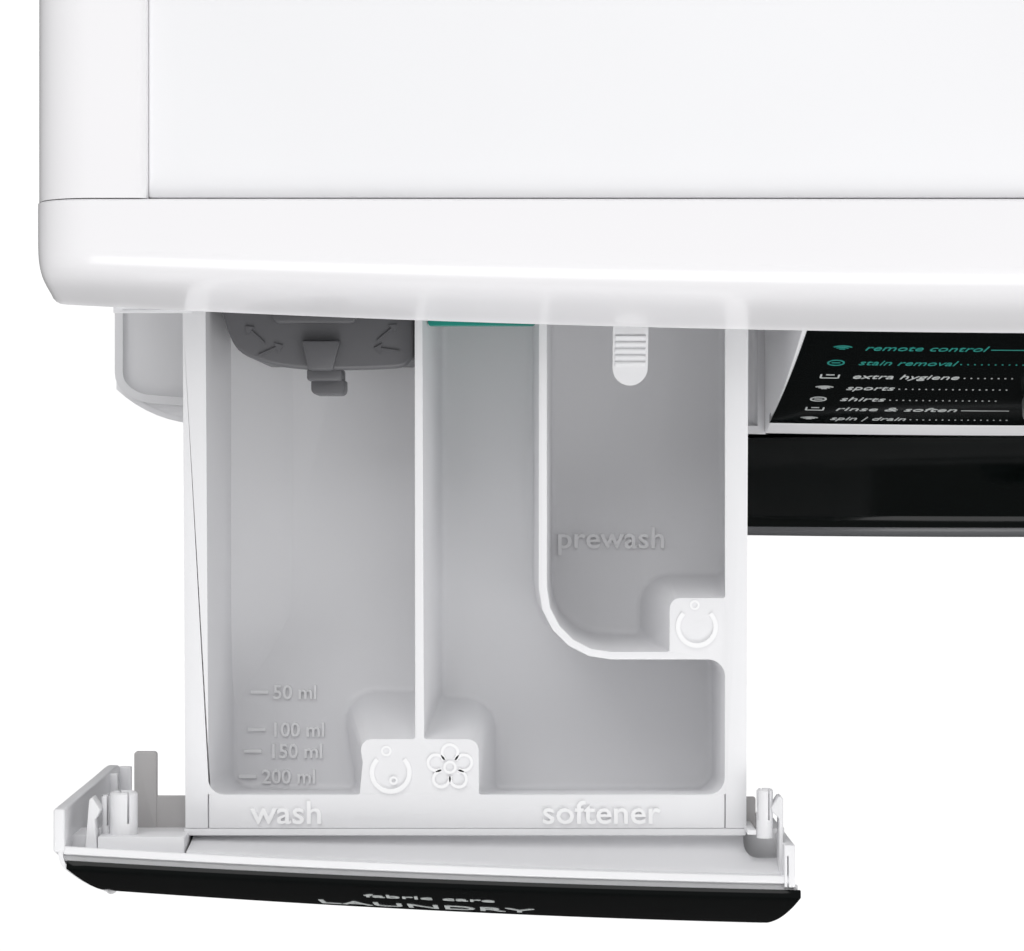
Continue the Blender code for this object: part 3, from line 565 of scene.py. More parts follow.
@dataclass(frozen=True)
class DrumFinish(Finish):
    """Stainless sheet with rows of drain holes all round, each filled with near-black as painted shade."""

    pitch_mm: float = 22.0
    hole_mm: float = 2.1
    drum_radius: float = 245.0

    def relief(self, tree: NodeTree, shader: Node) -> None:
        """Lays staggered round holes on the drum's wall, by its own depth and its angle, painted near-black
        as the shade seen through them.
        """
        super().relief(tree, shader)
        place = add_node(tree, "TexCoord", {}).outputs["Object"]
        parts = add_node(tree, "SeparateXYZ", {}, Vector=place).outputs
        height = add_node(tree, "Math", {"operation": "SUBTRACT"}, _0=parts["Z"], _1=AXIS_Z * MM).outputs[0]
        angle = add_node(tree, "Math", {"operation": "ARCTAN2"}, _0=height, _1=parts["X"]).outputs[0]
        rounds = round(2 * math.pi * self.drum_radius / self.pitch_mm)
        around = add_node(
            tree, "Math", {"operation": "MULTIPLY"}, _0=angle, _1=rounds / (2 * math.pi)
        ).outputs[0]
        along = add_node(
            tree, "Math", {"operation": "DIVIDE"}, _0=parts["Y"], _1=self.pitch_mm * MM / 2
        ).outputs[0]
        row = add_node(tree, "Math", {"operation": "ROUND"}, _0=along).outputs[0]
        odd = add_node(tree, "Math", {"operation": "MULTIPLY"}, _0=row, _1=0.5).outputs[0]
        shifted = add_node(tree, "Math", {"operation": "ADD"}, _0=around, _1=odd).outputs[0]
        nearest = add_node(tree, "Math", {"operation": "ROUND"}, _0=shifted).outputs[0]
        side = add_node(tree, "Math", {"operation": "SUBTRACT"}, _0=shifted, _1=nearest).outputs[0]
        ahead = add_node(tree, "Math", {"operation": "SUBTRACT"}, _0=along, _1=row).outputs[0]
        half = add_node(tree, "Math", {"operation": "MULTIPLY"}, _0=ahead, _1=0.5).outputs[0]
        both = add_node(tree, "CombineXYZ", {}, X=side, Y=half).outputs[0]
        reach = add_node(tree, "VectorMath", {"operation": "LENGTH"}, _0=both).outputs["Value"]
        edge = self.hole_mm / self.pitch_mm
        hole = add_node(
            tree, "MapRange", {}, Value=reach, From_Min=edge * 0.9, From_Max=edge * 1.1,
            To_Min=1.0, To_Max=0.0,
        ).outputs["Result"]
        tone = shader.inputs["Base Color"].links[0].from_socket
        # The holes are not cut: each is painted near-black, the shade seen through an opening
        hole_shade_painted = add_node(
            tree, "Mix", {"data_type": "RGBA"}, _0=hole, _6=tone, _7=linear("#0a0b0c")
        ).outputs[2]
        tree.links.new(hole_shade_painted, shader.inputs["Base Color"])


# ABS moulding, satin: soft broad highlights and a barely visible eroded texture
WHITE_ABS = Finish(
    "white_abs_moulding", "#f4f4f6", 0.34, "white_plastic", grain_mm=0.9, depth_mm=0.01, tint=0.02
)
# Sprayed and baked top parts: glossier, with a very faint orange peel
WHITE_GLOSS = Finish(
    "white_gloss_moulding", "#f7f6f8", 0.25, "white_plastic", Grain.PAINTED, 3.0, 0.006, tint=0.015, coat=0.3
)
# Melamine-faced board: even white with a faint cloudy mottle
WHITE_LAMINATE = Finish(
    "white_laminate_board", "#f6f6f8", 0.42, "white_board", Grain.PAINTED, 2.2, 0.01, tint=0.03
)
# Baked enamel on steel sheet
WHITE_ENAMEL = Finish(
    "white_baked_enamel", "#f3f3f5", 0.3, "white_steel", Grain.PAINTED, 2.6, 0.012, tint=0.02, coat=0.4
)
# Polypropylene tray: waxier and greyer than the casing
TRAY_PP = Finish(
    "tray_polypropylene", "#eeeef0", 0.38, "tray_plastic", grain_mm=1.1, depth_mm=0.012, tint=0.03
)
# Raised marks, a little glossier than the tray, in a lighter white: a painted highlight on their tops
TRAY_MARK_PAINTED_HIGHLIGHT = Finish(
    "tray_raised_marks_painted_highlight", "#fafafb", 0.3, "tray_plastic", grain_mm=1.1, depth_mm=0.006, tint=0.02
)
# The drawer's guides are the tray's plastic in a darker grey: painted shade for their low place under the
# front
GUIDE_PAINTED_SHADE = Finish(
    "grey_polypropylene", "#b2b0b0", 0.45, "tray_plastic", grain_mm=1.1, depth_mm=0.012, tint=0.03
)
# The bay's shelf is a light grey, a little darker than the casing's white
GREY_RIM = Finish(
    "grey_rim_moulding", "#e6e6e8", 0.45, "white_plastic", grain_mm=0.9, depth_mm=0.01, tint=0.03
)
# Back-printed acrylic sheet of the control panel and the drawer's plate
BLACK_PANEL = Finish(
    "black_panel_glass", "#0b0e0e", 0.1, "black_panel", Grain.POLISHED, 40.0, 0.01, tint=0.15, ior=1.33
)
# Polished black ABS of the door's ring
BLACK_GLOSS = Finish(
    "black_gloss_abs", "#040807", 0.14, "black_gloss", Grain.POLISHED, 30.0, 0.01, tint=0.15, ior=1.3
)
# Satin lacquer on the door's accent ring
DARK_RING = Finish("dark_grey_satin_ring", "#5f6062", 0.3, "black_gloss", grain_mm=0.7, depth_mm=0.008)
# Smoked acrylic of the door's outer cover
SMOKED = Finish(
    "smoked_acrylic", "#191b1d", 0.06, "smoked_cover", Grain.POLISHED, 60.0, 0.01, ior=1.49,
    transmission=0.75, coat=1.0,
)
# Pressed borosilicate glass of the door's bowl
CLEAR_GLASS = Finish(
    "pressed_borosilicate", "#eef4f2", 0.03, "clear_glass", Grain.POLISHED, 35.0, 0.03, ior=1.47,
    transmission=1.0, tint=0.02,
)
# Dark polypropylene of the liquid flap and teal of the siphon cap
FLAP_GREY = Finish("flap_dark_grey_pp", "#646467", 0.42, "flap_grey", grain_mm=0.9, depth_mm=0.02)
TEAL_PP = Finish("teal_pp", "#0f8f80", 0.3, "teal_plastic", grain_mm=0.9, depth_mm=0.01)
# Silver lacquer, turned in fine lines
KNOB_SATIN = Finish(
    "satin_silver_lacquer", "#9b9ca0", 0.3, "knob_grey", Grain.BRUSHED, 0.5, 0.01, metallic=0.7,
    lines=(1.0, 0.02, 1.0),
)
# Screen-printed inks on the black panel
PRINT_WHITE = Finish("screen_print_white", "#c6cac9", 0.5, "black_panel", grain_mm=0.5, depth_mm=0.004)
PRINT_TEAL = Finish("screen_print_teal", "#1d9186", 0.5, "black_panel", grain_mm=0.5, depth_mm=0.004)
# EPDM rubber: grey in the gasket, black in hoses, feet and belt
RUBBER_GREY = Finish("grey_epdm", "#8b8d8f", 0.6, "grey_rubber", grain_mm=0.7, depth_mm=0.03, tint=0.1)
RUBBER_BLACK = Finish("black_epdm", "#17181a", 0.62, "black_rubber", grain_mm=0.7, depth_mm=0.03, tint=0.2)
# Mineral-filled polypropylene of the tub and the base
DARK_PP = Finish("dark_grey_pp", "#2e2f31", 0.55, "dark_plastic", grain_mm=1.2, depth_mm=0.04, tint=0.12)
GREY_PP = Finish("grey_filled_pp", "#a2a4a6", 0.5, "grey_plastic", grain_mm=1.4, depth_mm=0.05, tint=0.08)
# Counterweights, cast with a coarse skin
CONCRETE = Finish("cast_concrete", "#b3b0aa", 0.9, "concrete", Grain.CAST, 4.0, 0.6, tint=0.25)
# Drum sheet with its rows of holes, painted near-black as the shade seen through them
STAINLESS = DrumFinish(
    "pierced_stainless", "#c9cbce", 0.24, "stainless", Grain.BRUSHED, 0.6, 0.02, metallic=1.0,
    lines=(1.0, 0.03, 1.0),
)
# Die castings and plated steel keep the metals' default index
CAST_ALUMINIUM = Finish(
    "die_cast_aluminium", "#b9bbbe", 0.48, "aluminium", Grain.CAST, 1.5, 0.08, metallic=1.0, tint=0.1
)
ZINC_STEEL = Finish(
    "zinc_plated_steel", "#b7babd", 0.34, "zinc_steel", Grain.PAINTED, 1.2, 0.02, metallic=1.0, tint=0.12
)
# Circuit board and the blue inlet valve
BOARD_GREEN = Finish("glass_epoxy_board", "#1f6b3f", 0.4, "board_green", Grain.BRUSHED, 0.4, 0.02)
VALVE_BLUE = Finish("blue_polyamide", "#2b53a0", 0.45, "valve_blue", grain_mm=1.0, depth_mm=0.03)


def place(
    piece: Object, finish: Finish, body: str, *nodes: str, angle: float = 32
) -> Object:
    """Dresses a finished piece and hands it to its body.

    Args:
        piece: the finished mesh.
        finish: what its surface is.
        body: the body that it moves with.
        nodes: the CAD nodes that it stands for.
        angle: edges flatter than this are shaded smooth.

    Returns:
        The same piece.
    """
    Bench.take(piece)
    bpy.ops.object.shade_smooth_by_angle(angle=math.radians(angle))
    piece.data.materials.clear()
    piece.data.materials.append(finish.material())
    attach(piece, body)
    if nodes:
        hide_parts(*nodes)
    LOG.info("%s: %d faces, rides on %s", piece.name, len(piece.data.polygons), body)
    return piece


def smooth(points: Sequence[Flat], steps: int) -> list[Flat]:
    """Gives points on a soft curve that passes through every given point."""
    spots = [Vector(point) for point in points]
    spots = [2 * spots[0] - spots[1], *spots, 2 * spots[-1] - spots[-2]]
    path: list[Flat] = []
    for a, b, c, d in zip(spots, spots[1:], spots[2:], spots[3:]):
        for share in spread(0, 1, steps)[:-1]:
            bend = (2 * a - 5 * b + 4 * c - d) * share**2 + (3 * b - a - 3 * c + d) * share**3
            path.append(tuple(0.5 * (2 * b + (c - a) * share + bend)))
    return [*path, tuple(spots[-2])]


@dataclass
class TopCover:
    """The worktop: a laminate board in moulded strips, with a bowed trim along the front."""

    height: float = 850.0
    underside: float = 815.3
    edge_radius: float = 16.0
    strip_inner: float = 269.4
    seam_y: float = 56.9
    back_y: float = 535.0
    board_top: float = 847.2
    corner_radius: float = 3.5
    nose: tuple[Flat, ...] = (
        (42.5, 850), (38.6, 849.5), (35.4, 848.2), (32.9, 846.0), (30.6, 842.2), (28.6, 836.4), (26.4, 827),
        (24.6, 818.5), (23.7, 815.3),
    )

    def build(self) -> None:
        """Builds the board, the strips round it and the trim."""
        self.board()
        self.strips()
        self.trim()

    def board(self) -> None:
        """Lays the board a step below the strips, with its edges eased."""
        inner = self.strip_inner - 0.05
        piece = Bench.block("worktop_board", (-inner, self.seam_y + 0.3, 832), (inner, 504.6, self.board_top))
        place(Bench.soften(piece, 0.6), WHITE_LAMINATE, "cabinet", "top_board")

    def strips(self) -> None:
        """Makes the side strips with their rounded outer edge, and the rear strip between them."""
        centre, low = COVER_HALF - self.edge_radius, self.height - self.edge_radius
        shape = [
            (centre + self.edge_radius * math.cos(a), low + self.edge_radius * math.sin(a))
            for a in spread(0, math.pi / 2, 12)
        ]
        shape += [(self.strip_inner + 2.6, self.height), (self.strip_inner + 1.2, self.height - 0.4)]
        shape += [(self.strip_inner + 0.3, self.height - 1.3), (self.strip_inner, self.height - 2.6)]
        shape += [(self.strip_inner, self.underside)]
        shape += [(COVER_HALF - 0.8, self.underside), (COVER_HALF, self.underside + 0.8)]
        shape = [(x - 0.3, z) if x > centre else (x, z) for x, z in shape]
        piece = Bench.prism("worktop_strips", shape, "Y", self.seam_y, self.back_y)
        other = Bench.prism("strip_left", [(-x, z) for x, z in shape], "Y", self.seam_y, self.back_y)
        rear = Bench.block("strip_rear", (-centre, 505, self.underside), (centre, self.back_y, self.height))
        Bench.bevel(rear, lambda mid, way: abs(way.x) > 0.9 and mid.z > 849, 1.2, 3)
        place(Bench.unite(piece, other, rear), WHITE_GLOSS, "cabinet", "top_side_frame")

    def trim(self) -> None:
        """Sweeps the trim's nose across the front, bowed in plan and rounded over at both ends."""
        seam = self.seam_y - 0.3
        shape = smooth(self.nose, 3) + [
            (seam, self.underside), (seam, self.height - 0.6), (seam - 0.6, self.height)
        ]
        piece = Bench.prism("worktop_front_trim", shape, "X", -COVER_HALF, COVER_HALF, 96)
        place(Bench.form(piece, self.bend), WHITE_GLOSS, "cabinet", "top_front_trim")

    def bend(self, point: Vector) -> Vector:
        """Bows a point of the trim and rounds the trim's ends, in plan and over the top."""
        x = COVER_HALF * math.sin(point.x / COVER_HALF * math.pi / 2)
        inset = max(0.0, self.corner_radius - (COVER_HALF - abs(x)))
        fall = bow(x) + self.corner_radius - math.sqrt(max(0.0, self.corner_radius**2 - inset**2))
        share = (self.seam_y - point.y) / (self.seam_y - self.nose[-1][0])
        past = max(0.0, abs(x) - COVER_HALF + self.edge_radius)
        lower = self.edge_radius - math.sqrt(max(0.0, self.edge_radius**2 - past**2))
        rise = (point.z - self.underside) / (self.height - self.underside)
        return Vector((x, point.y + fall * max(0.0, share), point.z - lower * rise))


@dataclass
class Fascia:
    """The white moulding behind the control panel, with the bay that the drawer runs in."""

    skin: float = 2.7

    def build(self) -> None:
        """Builds the band, the rail, the bay's shelf and the walls."""
        self.band()
        self.rail()
        self.shelf()
        self.walls()

    def band(self) -> None:
        """Makes the strip under the glass and the skin behind it, as one leaning sheet."""
        def shape(across: float, up: float) -> Point:
            x = -96.0 + (HALF_WIDTH + 95.6) * across
            z = FASCIA_LOW + (GLASS_LOW - 0.4 - FASCIA_LOW) * up
            tuck = 2.2 * max(0.0, 1 - up * 6) ** 2
            return x, panel_y(z) + bow(x) + tuck, z

        piece = Bench.sheet("fascia_band", 40, 12, shape, 5.4)
        place(Bench.soften(piece, 0.6, 2, 50), WHITE_ABS, "cabinet", "fascia_housing")

        def behind(across: float, up: float) -> Point:
            x = -95.4 + (HALF_WIDTH + 94.8) * across
            z = GLASS_LOW + (813.0 - GLASS_LOW) * up
            return x, panel_y(z) + bow(x) + self.skin + 0.1, z

        back = Bench.sheet("fascia_skin", 24, 8, behind, 2.6)
        reach = KnobSeat.normal() * 12
        for x, radius, segments in ((KnobSeat.x, 6.0, 24), (KnobSeat.button_x, 9.4, 32)):
            spot = design(KnobSeat.seat(x))
            hole = Bench.rod("cut_hole", tuple(spot - reach), tuple(spot + reach), radius, segments)
            Bench.cut(back, hole)
        place(back, WHITE_ABS, "cabinet", "fascia_housing")

    def rail(self) -> None:
        """Makes the rail along the top, with the slots that the cover's clips enter."""
        xs = spread(-HALF_WIDTH, HALF_WIDTH, 40)
        shape = [(x, 25.4 + bow(x) + max(0.0, abs(x) - 292)) for x in xs]
        shape += [(HALF_WIDTH, 52.5), (-HALF_WIDTH, 52.5)]
        piece = Bench.prism("fascia_rail", shape, "Z", 812.9, 815.1)
        for low, high in ((-281, -270), (-262, -236), (-140, -112), (120, 150), (240, 270)):
            middle = bow((low + high) / 2)
            cutter = Bench.block("cut_slot", (low, 32 + middle, 814.2), (high, 33.6 + middle, 816))
            Bench.cut(piece, cutter)
        place(Bench.soften(piece, 0.4, 2, 50), WHITE_ABS, "cabinet", "fascia_housing")
        tongue = Bench.block("bay_top_tongue", (-283.5, 29.4, 812.4), (-262, 50.2, 813.0))
        Bench.cut(tongue, Bench.block("cut_slot", (-281, 30.3, 812.7), (-271, 30.8, 813.5)))
        place(Bench.soften(tongue, 0.15, 2, 50), WHITE_ABS, "cabinet", "fascia_housing")

    def shelf(self) -> None:
        """Makes the bay's floor: a rim round a shallow dish, rounded at the machine's edge."""
        def front_y(x: float) -> float:
            return x * x / 7600 - 3.0

        front = [(x, front_y(x)) for x in spread(-287, -96, 20)]
        arc = [
            (-287 - 12.5 * math.sin(a), front_y(287) + 9.5 * (1 - math.cos(a)))
            for a in spread(math.pi / 2, 0, 8)
        ]
        shape = [(-HALF_WIDTH, 52.0), *arc, *front[1:], (-96, 52.0)]
        piece = Bench.prism("drawer_bay_shelf", shape, "Z", FASCIA_LOW - 0.4, 701.0)
        Bench.emboss(piece, lambda middle, normal: normal.z > 0.9, 2.5, -1.0, 0.25)
        for drop, slope in ((-0.9, 0.5), (-0.6, 0.8), (-0.4, 1.1), (-0.2, 1.4)):
            bottom = min(design(face.center).z for face in piece.data.polygons if face.normal.z > 0.98)
            Bench.emboss(
                piece, lambda middle, normal, z=bottom: normal.z > 0.98 and middle.z < z + 0.05,
                0, drop, slope,
            )
        place(piece, GREY_RIM, "cabinet", "fascia_housing", angle=42)
        span = [(x, panel_y(FASCIA_LOW) + bow(x) + 3) for x in spread(-90, HALF_WIDTH, 30)]
        under = Bench.prism("fascia_floor", [*span, (HALF_WIDTH, 52), (-90, 52)], "Z", FASCIA_LOW, 700.5)
        place(under, WHITE_ABS, "cabinet", "fascia_housing")

    def walls(self) -> None:
        """Makes the bay's back wall with the drawer's mouth, its right wall and the far end wall."""
        back = Bench.block("bay_back_wall", (-HALF_WIDTH, 50, 699.5), (-94, 52.5, 813.2))
        opening = rounded([(-274, 720, 4), (-102, 720, 4), (-102, 811, 4), (-274, 811, 4)])
        mouth = Bench.prism("cut_mouth", opening, "Y", 40, 60)
        pockets = [
            Bench.block("cut_pocket", (low, 40, bottom), (high, 60, top))
            for low, high, bottom, top in (
                (-290.5, -277.5, 795.5, 805.8), (-283.0, -270, 783.2, 788.2), (-292.5, -287.5, 798.5, 807.0),
                (-109.5, -99.0, 798.5, 807.0), (-105, -99.0, 783.2, 788.2),
            )
        ]
        place(Bench.cut(back, mouth, *pockets), WHITE_ABS, "cabinet", "fascia_housing")
        heights = spread(699.6, 813, 16)
        for name, low, high in (("bay_right_wall", -96.2, -93.7), ("fascia_end_wall", 297, 299.4)):
            fall = bow(high) + 3.2 if low > 0 else 0.2 + bow(low)
            shape = [(panel_y(z) + fall, z) for z in heights] + [(51, 813), (51, 699.6)]
            piece = Bench.prism(name, shape, "X", low, high)
            place(Bench.soften(piece, 0.5, 2, 50), WHITE_ABS, "cabinet", "fascia_housing")


class KnobSeat:
    """Where the knob and the button sit on the leaning panel."""

    x: float = 3.0
    button_x: float = 266.0
    z: float = 757.0

    @classmethod
    def normal(cls) -> Vector:
        """Gives the panel's outward direction at the knob."""
        lean = panel_y(cls.z + 0.5) - panel_y(cls.z - 0.5)
        return Vector((0, -1, lean)).normalized()

    @classmethod
    def seat(cls, x: float) -> Vector:
        """Gives the frame's place of a point on the knob's row."""
        return at(x, panel_y(cls.z) + bow(x), cls.z)


class Ink(Enum):
    """The colours that the panel is printed in."""

    WHITE = "white"
    TEAL = "teal"


@dataclass
class Legend:
    """One printed programme row: its word, where it stands and how its leader is drawn."""

    word: str
    z: float
    start: float
    end: float
    ink: Ink
    solid: bool


@dataclass
class Controls:
    """The black glass panel with its print, the programme knob and the start button."""

    left: float = -96.3
    right: float = 299.2
    thickness: float = 2.5
    print_height: float = 0.12
    dot_pitch: float = 1.95
    letter: float = 4.3
    rows: tuple[Legend, ...] = (
        Legend("remote control", 794.8, -77.1, -43.9, Ink.TEAL, True),
        Legend("stain removal", 782.3, -77.4, -50.4, Ink.TEAL, False),
        Legend("extra hygiene", 769.6, -77.7, -47.3, Ink.WHITE, False),
        Legend("sports", 758.2, -78.0, -64.4, Ink.WHITE, False),
        Legend("shirts", 746.1, -78.3, -65.4, Ink.WHITE, False),
        Legend("rinse & soften", 734.5, -78.1, -42.3, Ink.WHITE, True),
        Legend("spin | drain", 722.4, -78.5, -55.9, Ink.WHITE, False),
    )
    other_words: tuple[str, ...] = (
        "cotton", "eco 40-60", "mixed", "synthetics", "wool", "quick 20", "drum clean"
    )

    def build(self) -> None:
        """Builds the glass, its print, the knob and the button."""
        self.glass()
        self.print_rows()
        self.display()
        self.knob()
        self.button()

    def lay(self, piece: Object) -> Object:
        """Drapes a flat print drawn in the x-z plane onto the leaning panel."""
        return Bench.form(piece, lambda p: Vector((p.x, panel_y(p.z) + bow(p.x) + p.y, p.z)))

    def glass(self) -> None:
        """Makes the panel as one bowed, leaning sheet with eased edges and two holes."""
        def shape(across: float, up: float) -> Point:
            left = self.left + 1.5 * up
            x = left + (self.right - left) * across
            z = GLASS_LOW + (PANEL_TOP - GLASS_LOW) * up
            return x, panel_y(z) + bow(x), z

        piece = Bench.sheet("control_panel_glass", 48, 20, shape, self.thickness)
        normal = KnobSeat.normal()
        for x, radius in ((KnobSeat.x, 6.0), (KnobSeat.button_x, 9.8)):
            spot = design(KnobSeat.seat(x))
            low, high = spot - normal * 9, spot + normal * 9
            Bench.cut(piece, Bench.rod("cut_hole", tuple(low), tuple(high), radius, 40))
        Bench.soften(piece, 0.5, 2, 50)
        place(piece, BLACK_PANEL, "cabinet", "control_glass")

    def word(self, name: str, text: str, start: float, end: float, z: float, letter: float) -> Object:
        """Prints a word that fills the room between two places on a row."""
        across, up = Vector((1, 0, 0)), Vector((0.0, 0, 1))
        piece = Bench.lettering(name, text, letter, self.print_height * 2, (start, 0, z), across, up, -0.02)
        xs = [design(vertex.co).x for vertex in piece.data.vertices]
        stretch = (end - start) / (max(xs) - min(xs))
        least = min(xs)
        return Bench.form(
            piece, lambda p: Vector((start + (p.x - least) * stretch + (p.z - z) * 0.2, p.y, p.z))
        )

    def bar(self, name: str, low: float, high: float, z: float, width: float) -> Object:
        """Prints one plain line along a row."""
        count = max(1, round((high - low) / 8))
        shape = [(low, z - width / 2), (high, z - width / 2), (high, z + width / 2), (low, z + width / 2)]
        piece = Bench.prism(name, shape, "Y", -self.print_height, self.print_height)
        return Bench.slice_up(piece, "X", spread(low, high, count)[1:-1])

    def leader(self, row: Legend, end: float) -> list[Object]:
        """Draws a row's line, solid or dotted, from its word to the knob's ring."""
        start = row.end + 1.6
        z = row.z + 1.3
        if row.solid:
            return [self.bar("leader", start, end, z, 0.35)]
        count = int((end - start) / self.dot_pitch)
        first = self.bar("leader", start, start + 0.45, z, 0.5)
        return [first] + [
            Bench.copied(first, "leader", Matrix.Translation((self.dot_pitch * MM * step, 0, 0)))
            for step in range(1, count)
        ]

    def icon(self, index: int, x: float, z: float) -> list[Object]:
        """Draws a small generic sign: a tub, a ring, a wave or a fan of arcs."""
        thin = self.print_height
        parts: list[Object] = []
        if index % 3 == 0:
            for radius in (1.3, 2.5, 3.7):
                arc = [(x + radius * math.sin(a), z + radius * math.cos(a)) for a in spread(-0.8, 0.8, 8)]
                inner = [
                    (x + (radius - 0.5) * math.sin(a), z + (radius - 0.5) * math.cos(a))
                    for a in spread(0.8, -0.8, 8)
                ]
                parts.append(Bench.prism("icon", arc + inner, "Y", -thin, thin))
        elif index % 3 == 1:
            ring = [(2.5, -thin), (2.5, thin), (2.0, thin), (2.0, -thin)]
            parts.append(Bench.turned("icon", ring, (x, 0, z + 1.6), (0, 1, 0), 24))
            parts.append(self.bar("icon", x - 1.2, x + 1.2, z + 1.6, 0.5))
        else:
            for low, high, level in ((-2.4, 2.4, 0.2), (-2.8, -2.3, 1.8), (2.3, 2.8, 1.8), (-1.2, 1.2, 3.2)):
                tall = 0.5 if level in (0.2, 3.2) else 3.2
                parts.append(self.bar("icon", x + low, x + high, z + level, tall))
        return parts

    def print_rows(self) -> None:
        """Prints the programme names on both sides of the knob."""
        inks: dict[Ink, list[Object]] = {Ink.WHITE: [], Ink.TEAL: []}
        reach = 29.5
        for index, row in enumerate(self.rows):
            rise = row.z - KnobSeat.z
            end = KnobSeat.x - math.sqrt(max(40.0, reach**2 - rise**2 * 0.35)) - 3
            inks[row.ink].append(self.word("word", row.word, row.start, row.end, row.z, self.letter))
            inks[row.ink] += self.leader(row, end)
            inks[row.ink] += self.icon(index, row.start - 6.5, row.z)
            mirrored = 2 * KnobSeat.x - end
            far = 2 * KnobSeat.x - row.end
            word = self.other_words[index]
            inks[Ink.WHITE].append(self.word("word", word, far, far + 2.3 * len(word), row.z, self.letter))
            inks[Ink.WHITE].append(self.bar("leader", mirrored, far - 1.6, row.z + 1.3, 0.4))
        for ink, parts in inks.items():
            finish = PRINT_WHITE if ink is Ink.WHITE else PRINT_TEAL
            piece = self.lay(Bench.join(*parts))
            piece.name = f"panel_print_{ink.value}"
            place(piece, finish, "cabinet")

    def display(self) -> None:
        """Prints the time digits, the option names and the frame of the display."""
        parts = [self.word("word", "1:30", 118, 146, 772, 13)]
        for low, high, z, width in ((108, 158, 792, 0.4), (108, 158, 764, 0.4)):
            parts.append(self.bar("frame", low, high, z, width))
        for x, text in ((112, "temp"), (134, "spin"), (156, "delay"), (180, "steam"), (204, "extra rinse")):
            parts.append(self.word("word", text, x, x + 2.1 * len(text), 744, 3.6))
            parts.append(self.bar("mark", x + 2, x + 8, 738, 0.5))
        sign = [(262.5, 775), (262.5, 781), (267.5, 778)]
        parts.append(Bench.prism("sign", sign, "Y", -self.print_height, self.print_height))
        for x in (269.2, 271.0):
            parts.append(self.bar("sign", x, x + 0.9, 778, 6))
        piece = self.lay(Bench.join(*parts))
        piece.name = "display_print"
        place(piece, PRINT_WHITE, "cabinet")

    def knob(self) -> None:
        """Turns the knob with its skirt, flutes its grip and sets a pointer line in its face."""
        normal = KnobSeat.normal()
        seat = tuple(design(KnobSeat.seat(KnobSeat.x)))
        profile = [(0, -8), (3.6, -8), (3.6, 0.5), (28, 0.5), (29, 1.5), (29, 5.4), (28.4, 6.4), (26.6, 7.2)]
        profile += smooth([(26, 8.2), (25.6, 12), (25, 16.6), (24.2, 18.8), (22.4, 19.8), (19, 20)], 3)
        profile += [(16, 19.4), (0, 19.0)]
        piece = Bench.turned("programme_knob", profile, seat, tuple(normal), 96)
        middle = Vector(seat)

        def flute(point: Vector) -> Vector:
            offset = point - middle
            height = offset.dot(normal)
            flat = offset - normal * height
            angle = math.atan2(flat.x, flat.z)
            dip = 0.35 * max(0.0, math.cos(angle * 32)) if 8.5 < height < 18 else 0.0
            return middle + normal * height + flat * (1 - dip / max(flat.length, 1.0))

        Bench.form(piece, flute)
        place(piece, KNOB_SATIN, "knob", "program_knob")
        up = Vector((1, 0, 0)).cross(normal).normalized()
        up = up if up.z > 0 else -up
        top = middle + normal * 19.6
        start, end = top + up * 14, top + up * 24
        line = Bench.rod("knob_pointer", tuple(start), tuple(end), 0.8, 12)
        place(line, PRINT_WHITE, "knob", "program_knob")

    def button(self) -> None:
        """Turns the start button with its dished face."""
        profile = [(0, -0.9), (8.8, -0.9), (9, -0.6), (9, 1.0), (8.6, 1.7), (7.6, 2.0), (5, 1.5), (0, 1.3)]
        seat = tuple(design(KnobSeat.seat(KnobSeat.button_x)))
        piece = Bench.turned("start_button", profile, seat, tuple(KnobSeat.normal()), 48)
        place(piece, KNOB_SATIN, "button", "start_button")


